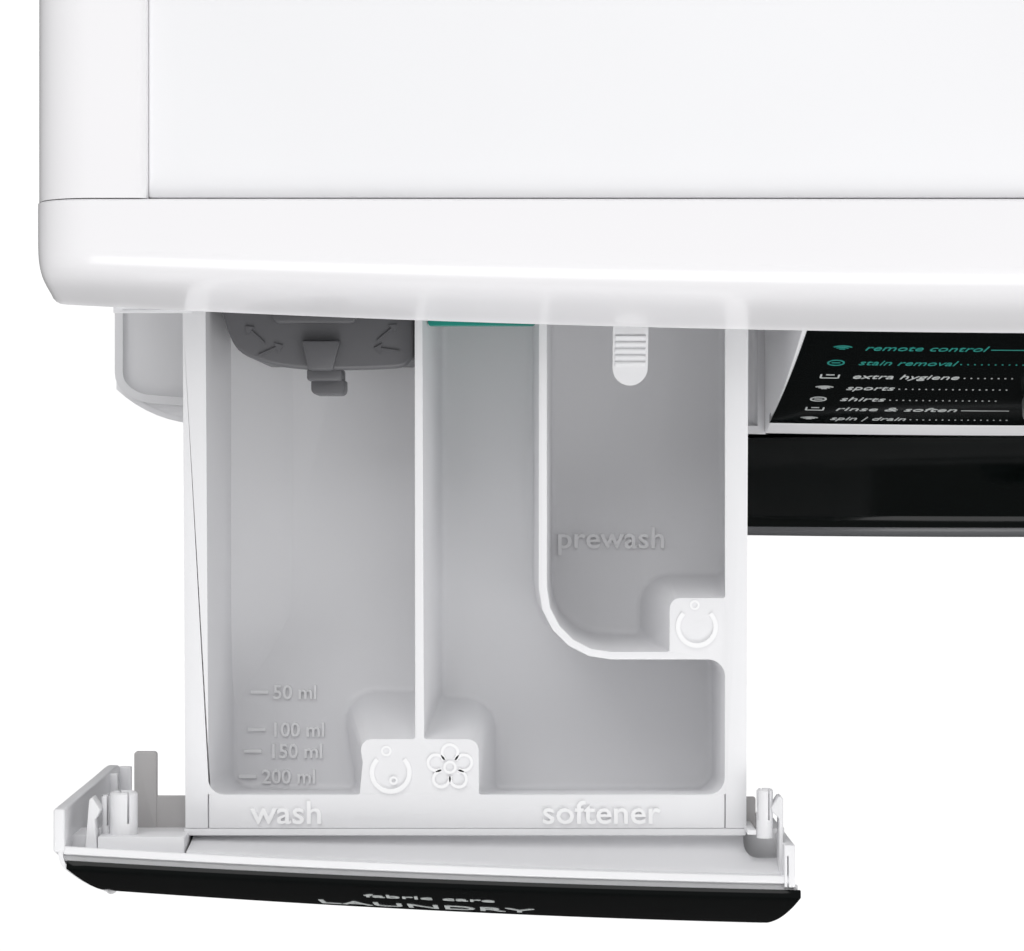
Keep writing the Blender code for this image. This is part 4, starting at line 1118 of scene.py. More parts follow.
@dataclass
class Drawer:
    """The detergent drawer, pulled out: a tray with three bins, its front and its small fittings."""

    left: float = -265.9
    right: float = -110.3
    front: float = -112.5
    rear: float = 122.5
    floor: float = 739.0
    rim_front: float = 796.5
    rim_rear: float = 803.0
    slope_end: float = 30.3
    bin_top: float = 798.0
    above: float = 812.0
    front_foot: float = 701.2
    front_top: float = 811.8
    word_size: float = 6.4

    def build(self) -> None:
        """Builds the tray, its marks, its fittings and the drawer's front."""
        self.tray()
        self.marks()
        self.cap()
        self.flap()
        self.tab()
        self.front_frame()
        self.front_fittings()
        self.front_plate()

    def rim(self, y: float) -> float:
        """Gives the height of the tray's rim at a depth."""
        share = (y - self.front) / (self.slope_end - self.front)
        return self.rim_front + (self.rim_rear - self.rim_front) * min(1.0, max(0.0, share))

    def bin_cutter(self, name: str, top: Sequence[Point], low: Sequence[Point]) -> Object:
        """Makes the space of one bin from its outlines at the rim and at the floor, which it rounds."""
        stretch = (self.above - self.floor) / (self.bin_top - self.floor)
        far = [
            (a + (x - a) * stretch, b + (y - b) * stretch, max(0.3, c + (r - c) * stretch))
            for (x, y, r), (a, b, c) in zip(top, low)
        ]
        piece = Bench.prism(name, rounded(low, 5), "Z", self.floor, self.above, 1, rounded(far, 5))
        Bench.bevel(piece, lambda mid, way: mid.z < self.floor + 0.1, 1.8, 3)
        return piece

    def tray(self) -> None:
        """Cuts the bins out of the tray and rounds their rims."""
        side = [
            (self.front, self.rim_front), (self.slope_end, self.rim_rear), (self.rear, self.rim_rear),
            (self.rear, 736), (self.front + 8, 736), (self.front + 3, 737.5), (self.front, 742),
        ]
        piece = Bench.prism("detergent_tray", side, "X", self.left, self.right)
        rear = self.rear - 4
        wash_top = [
            (-259.6, forward(88.4), 4.4), (-217.3, forward(88.4), 0.4), (-217.3, forward(73.1), 2.9),
            (-202.1, forward(73.1), 0.4), (-202.1, rear, 3), (-259.6, rear, 3),
        ]
        wash_low = [
            (-258.6, forward(93.4), 5.5), (-221.4, forward(94.0), 2.4), (-226.2, forward(64.6), 8.5),
            (-202.6, forward(64.6), 2.4), (-202.6, rear, 3), (-258.6, rear, 3),
        ]
        soft_top = [
            (-184.6, forward(88.4), 0.4), (-116.3, forward(88.4), 4.7), (-116.3, forward(50.9), 4.7),
            (-167.9, forward(50.9), 20.0), (-167.9, rear, 3),
            (-199.7, rear, 3), (-199.7, forward(73.1), 0.4), (-184.6, forward(73.1), 2.9),
        ]
        soft_low = [
            (-180.4, forward(94.0), 2.4), (-115.3, forward(93.4), 5.5), (-115.3, forward(52.3), 5.0),
            (-168.9, forward(52.3), 21.4), (-168.9, rear, 3),
            (-196.4, rear, 3), (-196.4, forward(66.8), 2.4), (-180.4, forward(66.8), 8.5),
        ]
        pre_top = [
            (-131.8, forward(48.8), 0.4), (-165.6, forward(48.8), 17.7),
            (-165.6, rear, 3), (-116.3, rear, 3), (-116.3, forward(33.8), 0.4), (-131.8, forward(33.8), 2.9),
        ]
        pre_low = [
            (-136.9, forward(47.6), 2.4), (-163.6, forward(47.6), 16.0),
            (-163.6, rear, 3), (-112.0, rear, 3), (-112.0, forward(29.8), 2.4), (-136.9, forward(29.8), 8.5),
        ]
        self.cut_bins(piece, (wash_top, wash_low), (soft_top, soft_low), (pre_top, pre_low))
        Bench.soften(piece, 0.45, 2, 55)
        place(piece, TRAY_PP, "drawer", "drawer_tray", angle=40)
        self.ramp(rear)

    def cut_bins(self, piece: Object, *bins: tuple[Sequence[Point], Sequence[Point]]) -> None:
        """Cuts each bin, then a narrow groove at each end of the front wall, along the side rims."""
        for number, (top, low) in enumerate(bins, 1):
            Bench.cut(piece, self.bin_cutter(f"cut_bin_{number}", top, low))
        for x in (-259.5, -116.2):
            low, high = (x - 0.2, self.front - 1, 795.2), (x + 0.2, forward(88.4), 799)
            Bench.cut(piece, Bench.block("cut_groove", low, high))

    def ramp(self, rear: float) -> None:
        """Lays the shallow ramp on the wash bin's left, which narrows towards the front."""
        crease = ((40.2, 18.0), (54.8, 10.4), (64.6, 3.3), (73.0, 0.4))

        def width(y: float) -> float:
            distance = -14.7 - y
            if distance <= crease[0][0]:
                return crease[0][1]
            for (u0, w0), (u1, w1) in zip(crease, crease[1:]):
                if distance <= u1:
                    return w0 + (w1 - w0) * (distance - u0) / (u1 - u0)
            return crease[-1][1]

        wall, floor = -258.9, self.floor
        shape = [(0, -0.6), (1, -0.6), (1, 0.02), (0, 1)]
        piece = Bench.prism("wash_bin_ramp", shape, "Y", forward(73.0), rear - 0.5, 40)

        def slope(point: Vector) -> Vector:
            reach = width(point.y)
            rise = point.z * 5.2 * reach / 18 if point.z > 0 else point.z
            return Vector((wall + point.x * reach, point.y, floor + rise))

        place(Bench.form(piece, slope), TRAY_PP, "drawer", "drawer_tray", angle=40)

    def marks(self) -> None:
        """Raises the level marks, the numbers, the signs on the pads and the words on the tray."""
        across, back = Vector((1, 0, 0)), Vector((0, 1, 0))
        low = self.floor
        parts: list[Object] = []
        for text, x, distance, dash in (
            ("50 ml", -246.7, 66.6, -253.2), ("100 ml", -247.3, 77.8, -254.1),
            ("150 ml", -247.9, 84.2, -255.3), ("200 ml", -250.0, 91.8, -256.8),
        ):
            spot = (x, forward(distance), low + 0.4)
            parts.append(Bench.lettering("mark", text, 4.2, 1.4, spot, across, back, 0.09))
            y = forward(distance - 2.0)
            parts.append(Bench.block("mark", (dash, y - 0.45, low - 0.2), (dash + 5.3, y + 0.45, low + 1.0)))
        for text, x, end, distance, height in (
            ("wash", -247.7, -228.2, 96.4, self.rim_front),
            ("softener", -167.0, -134.0, 96.4, self.rim_front),
            ("prewash", -162.0, -129.9, 21.6, low),
        ):
            spot = (x, forward(distance), height + 0.4)
            piece = Bench.lettering("mark", text, self.word_size, 1.5, spot, across, back, 0.1)
            reach = max(design(vertex.co).x for vertex in piece.data.vertices)
            share = (end - x) / (reach - x)
            Bench.form(piece, lambda p, x=x, share=share: Vector((x + (p.x - x) * share, p.y, p.z)))
            parts.append(piece)
        pads = ((-208.9, 82.3, ((-1.2, 6.0, 1.2), (0.8, -2.2, 0.9))), (-124.2, 41.8, ((-0.6, 6.0, 1.1),)))
        for x, distance, dots in pads:
            y = forward(distance)
            parts += self.bowl(x, y, 5.2, self.rim(y) + 0.35, dots)
        y = forward(80.8)
        parts += self.flower(-192.5, y, self.rim(y) + 0.35)
        piece = Bench.join(*parts)
        piece.name = "tray_raised_marks_painted_highlight"
        # The marks wear the lighter white: a painted highlight on their tops
        place(piece, TRAY_MARK_PAINTED_HIGHLIGHT, "drawer", "drawer_tray")

    def ribbon(self, points: Sequence[Flat], height: float, width: float, closed: bool) -> Object:
        """Raises a rib of even width along a line that lies flat."""
        spots = [Vector(point) for point in points]
        count = len(spots)
        inner, outer = [], []
        for index, spot in enumerate(spots):
            before = spots[index - 1] if closed or index else spot
            after = spots[(index + 1) % count] if closed or index < count - 1 else spot
            way = (after - before).normalized()
            side = Vector((-way.y, way.x)) * width / 2
            inner.append(tuple(spot + side))
            outer.append(tuple(spot - side))
        if not closed:
            return Bench.prism("rib", inner + outer[::-1], "Z", height - 0.9, height + 0.25)
        ring = Bench.prism("rib", outer, "Z", height - 0.9, height + 0.25)
        return Bench.cut(ring, Bench.prism("cut_rib", inner, "Z", height - 2, height + 2))

    def bowl(self, x: float, y: float, radius: float, height: float, dots: Sequence[Point]) -> list[Object]:
        """Raises the sign of an open bowl with small rings above it."""
        arc = [(x + radius * math.sin(a), y - radius * math.cos(a)) for a in spread(-2.35, 2.35, 28)]
        parts = [self.ribbon(arc, height, 1.25, False)]
        for dx, dy, size in dots:
            parts.append(self.ribbon(circle(x + dx, y + dy, size, 14), height, 0.6, True))
        return parts

    def flower(self, x: float, y: float, height: float) -> list[Object]:
        """Raises the sign of a flower with five petals round a ring."""
        parts = []
        for petal in range(5):
            turn = 2 * math.pi * petal / 5 + math.pi / 2
            line = []
            for a in spread(-2.5, 2.5, 16):
                reach, swing = 4.0 + 2.3 * math.cos(a), 2.2 * math.sin(a)
                line.append((
                    x + reach * math.cos(turn) - swing * math.sin(turn),
                    y + reach * math.sin(turn) + swing * math.cos(turn),
                ))
            parts.append(self.ribbon(line, height, 0.8, False))
        return [*parts, self.ribbon(circle(x, y, 1.5, 16), height, 0.7, True)]

    def cap(self) -> None:
        """Builds the softener bin's siphon cap: a lid on a hollow column."""
        shape = rounded([(-198.9, 27.2, 1), (-168.7, 27.2, 1), (-168.7, 113, 2), (-198.9, 113, 2)])
        lid = Bench.prism("siphon_cap", shape, "Z", 786, 789.2)
        column = Bench.block("cap_column", (-197, 60, 740.2), (-170.6, 111, 787))
        Bench.bevel(column, lambda mid, way: abs(way.z) > 0.9, 5, 4)
        piece = Bench.unite(lid, column)
        Bench.soften(piece, 0.4, 2, 50)
        place(piece, TEAL_PP, "drawer", "siphon_cap")

    def flap(self) -> None:
        """Builds the liquid flap with its curved lower edge, its handle and its arrows."""
        back = 34.5
        lower = smooth([
            (-255.7, 30.6), (-253.6, 24.0), (-250.4, 19.4), (-243.6, 16.5), (-234.1, 14.9), (-222.0, 14.6),
            (-211.0, 14.9), (-205.2, 15.6), (-202.7, 18.0),
        ], 5)
        shape = [*lower, (-202.5, back), (-255.9, back)]
        piece = Bench.prism("liquid_flap", shape, "Z", 793.4, 797.0)
        Bench.bevel(piece, lambda mid, way: mid.z > 796.9, 1.2, 3)
        plan = rounded([(-242.9, 31, 1.5), (-240.5, 27.4, 1.5), (-218.9, 27.4, 1.5), (-217.4, 31, 1.5)])
        hub = Bench.prism("flap_hub", plan, "Z", 796.4, 799.4)
        Bench.soften(hub, 0.6, 2, 40)
        handle_low = [(-233.6, 22.6), (-222.6, 22.6), (-224.8, 14.4), (-231.6, 14.4)]
        handle = Bench.prism("flap_handle", handle_low, "Z", 780, 800.4)
        Bench.soften(handle, 0.8, 2, 40)
        block = Bench.block("flap_block", (-232.3, 11.6, 778), (-222.6, 15.2, 795.6))
        Bench.soften(block, 0.8, 2, 40)
        plan = rounded([(-231.4, 12.4, 1), (-231.4, 7.9, 1.6), (-222.2, 7.9, 1.6), (-222.2, 12.4, 1)])
        tongue = Bench.prism("flap_tongue", plan, "Z", 775, 791.6)
        Bench.soften(tongue, 0.5, 2, 60)
        skirt = Bench.prism("flap_skirt", shape, "Z", 744.0, 793.6)
        Bench.form(skirt, lambda p: Vector((p.x, max(p.y, 17.4), p.z)))
        Bench.tidy(skirt)
        piece = Bench.join(piece, hub, handle, block, tongue, *self.arrows())
        place(piece, FLAP_GREY, "flap", "liquid_flap")
        place(skirt, FLAP_GREY, "flap", "liquid_flap")

    def arrows(self) -> list[Object]:
        """Raises the two pairs of arrow signs on the flap."""
        parts = []
        arrows = ((-245.8, 23.6, 2.4), (-243.0, 19.6, 0.4), (-210.6, 24.2, 0.7), (-209.0, 20.0, 3.0))
        for x, y, turn in arrows:
            way, side = Vector((math.cos(turn), math.sin(turn))), Vector((-math.sin(turn), math.cos(turn)))
            here = Vector((x, y))
            line = [here - way * 2.6, here + way * 2.6]
            for shape in (
                [line[0] - side * 0.3, line[1] - side * 0.3, line[1] + side * 0.3, line[0] + side * 0.3],
                [line[1] - side * 1.5, line[1] + way * 2.0, line[1] + side * 1.5],
            ):
                parts.append(Bench.prism("arrow", [tuple(spot) for spot in shape], "Z", 796.6, 797.5))
        return parts

    def tab(self) -> None:
        """Builds the release tab: a round-ended tongue with five grip ribs."""
        middle, end, radius = -142.4, 10.4, 4.9
        arc = [
            (middle + radius * math.cos(a), end + radius * (1 - math.sin(a))) for a in spread(0, math.pi, 12)
        ]
        shape = [(middle + radius, 31), *arc, (middle - radius, 31)]
        piece = Bench.prism("release_tab", shape, "Z", 795.4, 797.4)
        Bench.slice_up(piece, "Y", spread(12, 30, 8))
        fall = 0.32
        parts = [piece]
        for y in (23.6, 21.8, 20.0, 18.2, 16.4):
            parts.append(Bench.rod("rib", (-146.6, y, 797.3), (-138.2, y, 797.3), 0.75, 12))
        piece = Bench.join(*parts)
        Bench.form(piece, lambda p: Vector((p.x, p.y, p.z - fall * max(0.0, 26 - p.y))))
        place(piece, TRAY_PP, "tab", "release_tab")

    def face(self, x: float, z: float) -> float:
        """Gives the depth of the drawer's front face, which bows more towards its foot."""
        t = lean(z)
        return panel_y(z) - 2.15 + 1.7 * t + x * x / (9750 - 1720 * t) + PULLED

    def left_end(self, z: float) -> float:
        """Gives where the black plate ends on the left, inside its white surround."""
        return -296.5 - 3.0 * lean(z) ** 2

    def skin(
        self, name: str, low: float, high: float, inset: float, wall: float, ends: Flat, rows: int
    ) -> Object:
        """Draws one bowed, leaning layer of the drawer's front between two heights."""
        left, right = ends

        def shape(across: float, up: float) -> Point:
            x, z = left + (right - left) * across, low + (high - low) * up
            return x, self.face(x, z) + inset, z

        return Bench.sheet(name, 36, rows, shape, wall)

    def front_frame(self) -> None:
        """Builds the white moulding behind the drawer's black plate."""
        foot = self.front_foot
        for piece, width in (
            (self.skin("drawer_front_skin", foot, 809.8, 2.5, 1.7, (-298.2, -97.4), 12), 0.3),
            (self.skin("drawer_front_rim", 798, 811.4, 4.2, 2.2, (-297.6, -98.6), 2), 0.5),
            (self.skin("drawer_front_band", foot, GLASS_LOW - 0.4, 0, 3.0, (-298.2, -97.3), 3), 0.7),
        ):
            place(Bench.soften(piece, width, 3, 50), WHITE_ABS, "drawer", "drawer_front_frame")
        self.returns()
        self.channel()

    def returns(self) -> None:
        """Builds the deep wall at the front's left end, round its corner, and the one at its right end."""
        heights = spread(self.front_foot, self.front_top, 14)
        wall = [(self.face(298, z) + 4.6, z) for z in heights]
        rear = smooth([
            (forward(90.7), self.front_top), (forward(90.2), 780), (forward(89.6), 740), (forward(89.2), 716),
            (forward(90.4), 707.0), (forward(94.4), 701.6), (forward(98.0), self.front_foot),
        ], 4)
        piece = Bench.prism("drawer_front_left_wall", wall + rear, "X", -300.0, -296.9)
        place(Bench.soften(piece, 0.6, 3, 50), WHITE_ABS, "drawer", "drawer_front_frame")

        def corner(across: float, up: float) -> Point:
            z = self.front_foot + (self.front_top - self.front_foot) * up
            turn, width = across * math.pi / 2, self.left_end(z) + 298.7
            return -298.7 + width * (1 - math.cos(turn)), self.face(298, z) + 5 * (1 - math.sin(turn)), z

        piece = Bench.sheet("drawer_front_left_corner", 8, 14, corner, 1.2)
        place(Bench.soften(piece, 0.3, 2, 60), WHITE_ABS, "drawer", "drawer_front_frame")
        for top, reach in ((728.5, 2.3), (708.5, 3.6)):
            near, far = (-297.2, forward(108), top - 2), (-296.9 + reach, forward(90.2), top)
            flange = Bench.block("drawer_front_flange", near, far)
            place(Bench.soften(flange, 0.4, 2), WHITE_ABS, "drawer", "drawer_front_frame")
        wall = [(self.face(98, z) + 3.2, z) for z in heights]
        rear = [
            (forward(100.6), 811.2), (forward(100.8), 730), (forward(108.0), 704),
            (forward(112.0), self.front_foot),
        ]
        piece = Bench.prism("drawer_front_right_wall", wall + rear, "X", -101.2, -98.3)
        groove = Bench.block("cut_groove", (-100.4, forward(120), 806), (-100.05, forward(103.5), 815))
        Bench.cut(piece, groove)
        place(Bench.soften(piece, 0.4, 2, 50), WHITE_ABS, "drawer", "drawer_front_frame")

    def channel(self) -> None:
        """Builds the hollow between the tray's lip and the front's rim, with the pit at its right end."""
        low, high = -264.4, -100.6
        near = forward(99.6)

        def hollow(across: float, up: float) -> Point:
            x = low + (high - low) * across
            far = self.face(x, 811) + 6.2
            return x, far + (near - far) * up, 790 + 16.8 * (1 - up) ** 2.2

        piece = Bench.sheet("drawer_front_hollow", 36, 10, hollow, 1.4)
        pit = rounded([
            (-110.7, forward(98.0), 0.3), (-110.7, forward(106.3), 3.6), (-101.3, forward(106.3), 0.3),
            (-101.3, forward(98.0), 0.3),
        ])
        Bench.cut(piece, Bench.prism("cut_pit", pit, "Z", 780, 812))
        place(Bench.soften(piece, 0.3, 2, 60), TRAY_PP, "drawer", "drawer_front_frame", angle=50)
        edge = [(x, self.face(x, 790) + 3.6) for x in spread(-297, -98.6, 24)]
        edge += [(-98.6, forward(99.4)), (-297, forward(99.4))]
        floor = Bench.prism("drawer_front_floor", edge, "Z", 783, 785)
        place(floor, TRAY_PP, "drawer", "drawer_front_frame")
        lip = Bench.block("drawer_tray_lip", (-266.3, forward(99.95), 783), (-110.4, forward(97.9), 796.3))
        place(Bench.soften(lip, 0.35, 2, 50), TRAY_PP, "drawer", "drawer_front_frame")

    def tube(self, name: str, x: float, z: float, reach: Flat, outer: float, inner: float) -> Object:
        """Lays a hollow boss on the front's back, slotted into springy fingers at its open end."""
        start, end = forward(reach[1]), forward(reach[0])
        profile = [
            (outer, start), (outer, end - 0.5), (outer - 0.5, end), (inner + 0.4, end), (inner, end - 0.5),
            (inner, start),
        ]
        piece = Bench.turned(name, profile, (x, 0, z), (0, 1, 0), 40)
        for turn in (1.1, 1.1 + math.pi / 2):
            way = Vector((math.cos(turn), 0, math.sin(turn))) * (outer + 2)
            side = Vector((-math.sin(turn), 0, math.cos(turn))) * 0.3
            spot = Vector((x, 0, z))
            corners = [spot + way + side, spot - way + side, spot - way - side, spot + way - side]
            outline = [(corner.x, corner.z) for corner in corners]
            Bench.cut(piece, Bench.prism("cut_slot", outline, "Y", end - 8.5, end + 1))
        return piece

    def hook(
        self, name: str, x: float, side: float, reach: Flat, foot: Flat, waist: float, barb: float
    ) -> Object:
        """Makes a springy finger with a barb at its free end.

        Args:
            name: the piece's name.
            x: where the finger's plain side is.
            side: which way the barb points, 1 to the right or -1 to the left.
            reach: how far in front of the camera's foot it ends and starts.
            foot: how far it widens at its root, on the plain side and on the other.
            waist: its width behind the barb.
            barb: how far the barb reaches.

        Returns:
            The finger.
        """
        start, end = forward(reach[1]), forward(reach[0])
        shape = [
            (x - side * foot[0], start), (x + side * foot[1], start), (x + side * waist, end - 6.2),
            (x + side * barb * 0.9, end - 4.4), (x + side * barb, end - 3.3),
            (x + side * barb * 0.4, end - 0.3), (x + side * 0.6, end), (x, end - 0.8),
        ]
        return Bench.prism(name, shape, "Z", 799.5, 806.0)

    def front_fittings(self) -> None:
        """Builds the hooks, bosses and guides at both ends of the drawer's front."""
        pieces = [
            self.tube("drawer_boss_left", -282.4, 800.6, (87.2, 99.6), 3.8, 2.7),
            self.tube("drawer_boss_left_small", -287.5, 799.0, (88.2, 99.6), 1.3, 0.7),
            self.tube("drawer_boss_right", -105.8, 803.0, (86.1, 99.6), 2.25, 1.3),
            self.hook("drawer_hook_left", -291.2, 1, (88.2, 104.1), (1.2, 2.4), 1.6, 3.0),
            self.hook("drawer_hook_right", -101.0, -1, (87.8, 112.2), (0, 1.1), 1.1, 3.3),
        ]
        for name, low, high, top in (
            ("drawer_guide_left", (-281.5, forward(99.5), 784.6), (-275.1, forward(77.6), 786.8), 0.9),
            ("drawer_guide_plate", (-275.3, forward(99.5), 784.6), (-265.7, forward(90.1), 786.6), 0.4),
            ("drawer_guide_right", (-111.2, forward(99.5), 784.6), (-106.8, forward(90.4), 786.6), 0.6),
        ):
            plate = Bench.block(name, low, high)
            pieces.append(Bench.bevel(plate, lambda mid, way: abs(way.z) > 0.9, top, 4))
        for name, x0, x1, u0, u1, high, low in (
            ("drawer_rib_left", -288.8, -265.1, 98.9, 104.2, 806.2, 784.5),
            ("drawer_rib_right", -110.8, -108.2, 97.2, 98.6, 805.0, 784.5),
            ("drawer_gusset_left", -297.2, -292.6, 99.5, 106.0, 799.0, 784.5),
        ):
            pieces.append(Bench.block(name, (x0, forward(u1), low), (x1, forward(u0), high)))
        for piece in pieces:
            name = piece.name
            if not name.startswith("drawer_boss"):
                Bench.soften(piece, 0.35, 2, 50)
            # The guides take the darker grey: painted shade for their low place under the front
            finish = GUIDE_PAINTED_SHADE if "guide" in name else TRAY_PP
            place(piece, finish, "drawer", "drawer_front_frame")

    def front_plate(self) -> None:
        """Builds the drawer's black plate and its two printed lines."""
        def shape(across: float, up: float) -> Point:
            z = GLASS_LOW + (PANEL_TOP - GLASS_LOW) * up
            left = self.left_end(z)
            x = left + (-96.8 - left) * across
            return x, self.face(x, z), z

        piece = Bench.sheet("drawer_front_plate", 40, 16, shape, 2.4)
        Bench.soften(piece, 0.35, 2, 50)
        place(piece, BLACK_PANEL, "drawer", "drawer_front_plate")
        across, up = Vector((1, 0, 0)), Vector((0.0, 0, 1))
        parts = []
        for text, start, end, z, size in (
            ("LAUNDRY", -231.5, -168.8, 745, 18), ("fabric care", -217, -180.2, 782, 8)
        ):
            word = Bench.lettering("word", text, size, 0.24, (start, 0, z), across, up, 0.1)
            xs = [design(vertex.co).x for vertex in word.data.vertices]
            share = (end - start) / (max(xs) - min(xs))
            least = min(xs)
            Bench.form(word, lambda p, s=start, k=share, m=least: Vector((s + (p.x - m) * k, p.y, p.z)))
            parts.append(word)
        word = Bench.join(*parts)
        word.name = "drawer_front_print"
        Bench.form(word, lambda p: Vector((p.x, self.face(p.x, p.z) + p.y, p.z)))
        place(word, PRINT_WHITE, "drawer")


@dataclass
class Casing:
    """The painted steel body with its kick plate, back cover, feet and connections."""

    low: float = 22.0
    high: float = 812.0
    seam_y: float = 20.3
    back_y: float = 520.0
    sheet: float = 1.2
    press: float = 2.6
    porthole: float = 176.0
    kick_top: float = 112.0
    feet: tuple[Flat, ...] = ((-262, 62), (262, 62), (-262, 476), (262, 476))

    def build(self) -> None:
        """Builds the wrap, the front, the kick plate with its flap, the back and the feet."""
        self.wrap()
        self.front()
        self.kick()
        self.service()
        self.back()
        self.foot_set()

    def face(self, x: float) -> float:
        """Gives the front panel's depth, which is nearly flat between its rounded corners."""
        return x * x / 53000

    def pressed(self, spot: float, low: float, high: float, slope: float) -> float:
        """Gives how far in a pressed panel lies, from 0 at its border to 1 inside."""
        near = min(spot - low, high - spot)
        share = min(1.0, max(0.0, near / slope))
        return share * share * (3 - 2 * share)

    def wrap(self) -> None:
        """Folds one sheet round three sides, with a pressed panel in each flank."""
        depths = sorted(
            {self.seam_y, 54, 60, *spread(64, 76, 6), *spread(90, 450, 10), *spread(464, 476, 6), 500, 514}
        )
        corner = [
            (HALF_WIDTH - 6 + 6 * math.cos(a), 514 + 6 * math.sin(a)) for a in spread(0, math.pi / 2, 5)
        ]
        right = [(HALF_WIDTH, y) for y in depths[:-1]] + corner
        path = [(-x, y) for x, y in right] + [(x, self.back_y) for x in spread(-260, 260, 10)] + right[::-1]
        levels = sorted(
            {self.low, 60, *spread(66, 78, 6), *spread(100, 720, 20), *spread(736, 748, 6), 780, self.high}
        )

        def shape(across: float, up: float) -> Point:
            x, y = path[round(across * (len(path) - 1))]
            z = levels[round(up * (len(levels) - 1))]
            if abs(x) > HALF_WIDTH - 0.1:
                dent = self.press * self.pressed(y, 62, 478, 14) * self.pressed(z, 64, 750, 14)
                x -= math.copysign(dent, x)
            return x, y, z

        piece = Bench.sheet("cabinet_wrap", len(path) - 1, len(levels) - 1, shape, -self.sheet)
        Bench.tidy(piece)
        Bench.cut(piece, Bench.block("cut_fascia_room", (-320, 0, 697.5), (320, 54, 830)))
        place(piece, WHITE_ENAMEL, "cabinet", "cabinet_wrap")
        seams = [
            Bench.rod("wrap_screw", (side * 299.2, y, z), (side * 300.0, y, z), 4.0, 20)
            for side in (-1, 1) for y in (40, 500) for z in (40, 790 if y > 60 else 680)
        ]
        place(Bench.join(*seams), ZINC_STEEL, "cabinet")

    def front(self) -> None:
        """Bows the front panel, rounds its upright edges and rolls the rim of its porthole."""
        xs = spread(-272, 272, 40)
        turn = [
            (272 + 40 * math.sin(a), self.face(272) + 40 * (1 - math.cos(a)))
            for a in spread(0, math.asin(27.5 / 40), 8)
        ]
        outer = [(-x, y) for x, y in turn[::-1]] + [(x, self.face(x)) for x in xs[1:-1]] + turn
        inner = [(x * 0.9955, y + 1.3) for x, y in outer[::-1]]
        edge = HALF_WIDTH - 1.3
        shape = [(-HALF_WIDTH, 20), *outer, (HALF_WIDTH, 20), (edge, 20), *inner, (-edge, 20)]
        piece = Bench.prism("front_panel", shape, "Z", 112.6, 697.4)
        hole = Bench.rod("cut_porthole", (0, -20, AXIS_Z), (0, 40, AXIS_Z), self.porthole, 128)
        slot = Bench.block("cut_hook_slot", (190, -20, 414), (212, 40, 446))
        Bench.cut(piece, hole, slot)
        place(piece, WHITE_ENAMEL, "cabinet", "front_panel", angle=40)
        fold = [(-edge, 20), *[(x * 0.997, y + 0.7) for x, y in outer], (edge, 20)]
        flange = Bench.prism("front_panel_flange", fold, "Z", 695.8, 697.2)
        place(flange, WHITE_ENAMEL, "cabinet", "front_panel")
        profile = [(176, 1.2), (177.5, 0.3), (180, -0.5), (184, -0.5), (187, 0.2), (187, 1.4), (176, 2.6)]
        rim = Bench.turned("porthole_rim", profile, DRUM_AXIS, segments=128)
        Bench.form(rim, lambda p: Vector((p.x, p.y + self.face(p.x) - 0.1, p.z)))
        place(rim, WHITE_ENAMEL, "cabinet", "front_panel", angle=50)

    def kick(self) -> None:
        """Bows the kick plate and cuts its rounded service opening, with its edges eased."""
        skin = [(x, bow(x) + 1.5) for x in spread(-HALF_WIDTH, HALF_WIDTH, 40)]
        inner = [(x, bow(x) + 4.2) for x in spread(HALF_WIDTH - 2.5, -HALF_WIDTH + 2.5, 40)]
        shape = [*skin, (HALF_WIDTH, 20), (HALF_WIDTH - 2.5, 20)]
        shape += [*inner, (-HALF_WIDTH + 2.5, 20), (-HALF_WIDTH, 20)]
        piece = Bench.prism("kick_plate", shape, "Z", self.low, self.kick_top)
        opening = rounded([(160, 38, 3), (270, 38, 3), (270, 104, 3), (160, 104, 3)])
        hole = Bench.prism("cut_flap_hole", opening, "Y", -20, 40)
        Bench.cut(piece, hole)
        place(Bench.soften(piece, 0.6, 2, 50), WHITE_ABS, "cabinet", "kick_plate")

    def service(self) -> None:
        """Makes the flap in front of the drain filter, and the filter's knob behind it."""
        face = bow(160.8) + 1.5
        columns = spread(160.8, 269.2, 12)
        shape = [(x, bow(x) + 1.5) for x in columns] + [(x, bow(x) + 4) for x in reversed(columns)]
        flap = Bench.prism("service_flap", shape, "Z", 38.8, 103.2)
        Bench.cut(flap, Bench.block("cut_finger", (206, face - 3, 98.6), (224, face + 4.4, 105)))
        place(Bench.soften(flap, 0.6, 2, 50), WHITE_ABS, "service_flap", "pump_flap")
        profile = [(0, 29.2), (24.6, 29.2), (26, 30.2), (26, 36), (21.5, 36.5), (21.5, 80), (0, 80)]
        centre_x, centre_z = 215, 71
        plug = Bench.turned("filter_plug", profile, (centre_x, 0, centre_z), segments=64)

        def scallop(point: Vector) -> Vector:
            offset = Vector((point.x - centre_x, point.z - centre_z))
            reach = offset.length
            dip = 1.2 * max(0.0, math.cos(math.atan2(offset.y, offset.x) * 12)) if reach > 23 else 0.0
            scale = (reach - dip) / reach if reach else 1.0
            return Vector((centre_x + offset.x * scale, point.y, centre_z + offset.y * scale))

        Bench.form(plug, scallop)
        grip = Bench.block("filter_grip", (212, 19.5, 51), (218, 30, 91))
        Bench.bevel(grip, lambda mid, way: mid.y < 20, 2.4, 4)
        place(Bench.join(plug, grip), WHITE_ABS, "filter", "pump_filter")

    def back(self) -> None:
        """Presses the back cover outwards with ribs, and screws it on."""
        piece = Bench.block("back_cover", (-215, 520.3, 85), (215, 521.5, 710))
        bands = ((244, 252), (402, 410), (560, 568))
        Bench.slice_up(piece, "Z", [edge for band in bands for edge in band])

        def between(mid: Vector, normal: Vector) -> bool:
            return normal.y > 0.9 and not any(low < mid.z < high for low, high in bands)

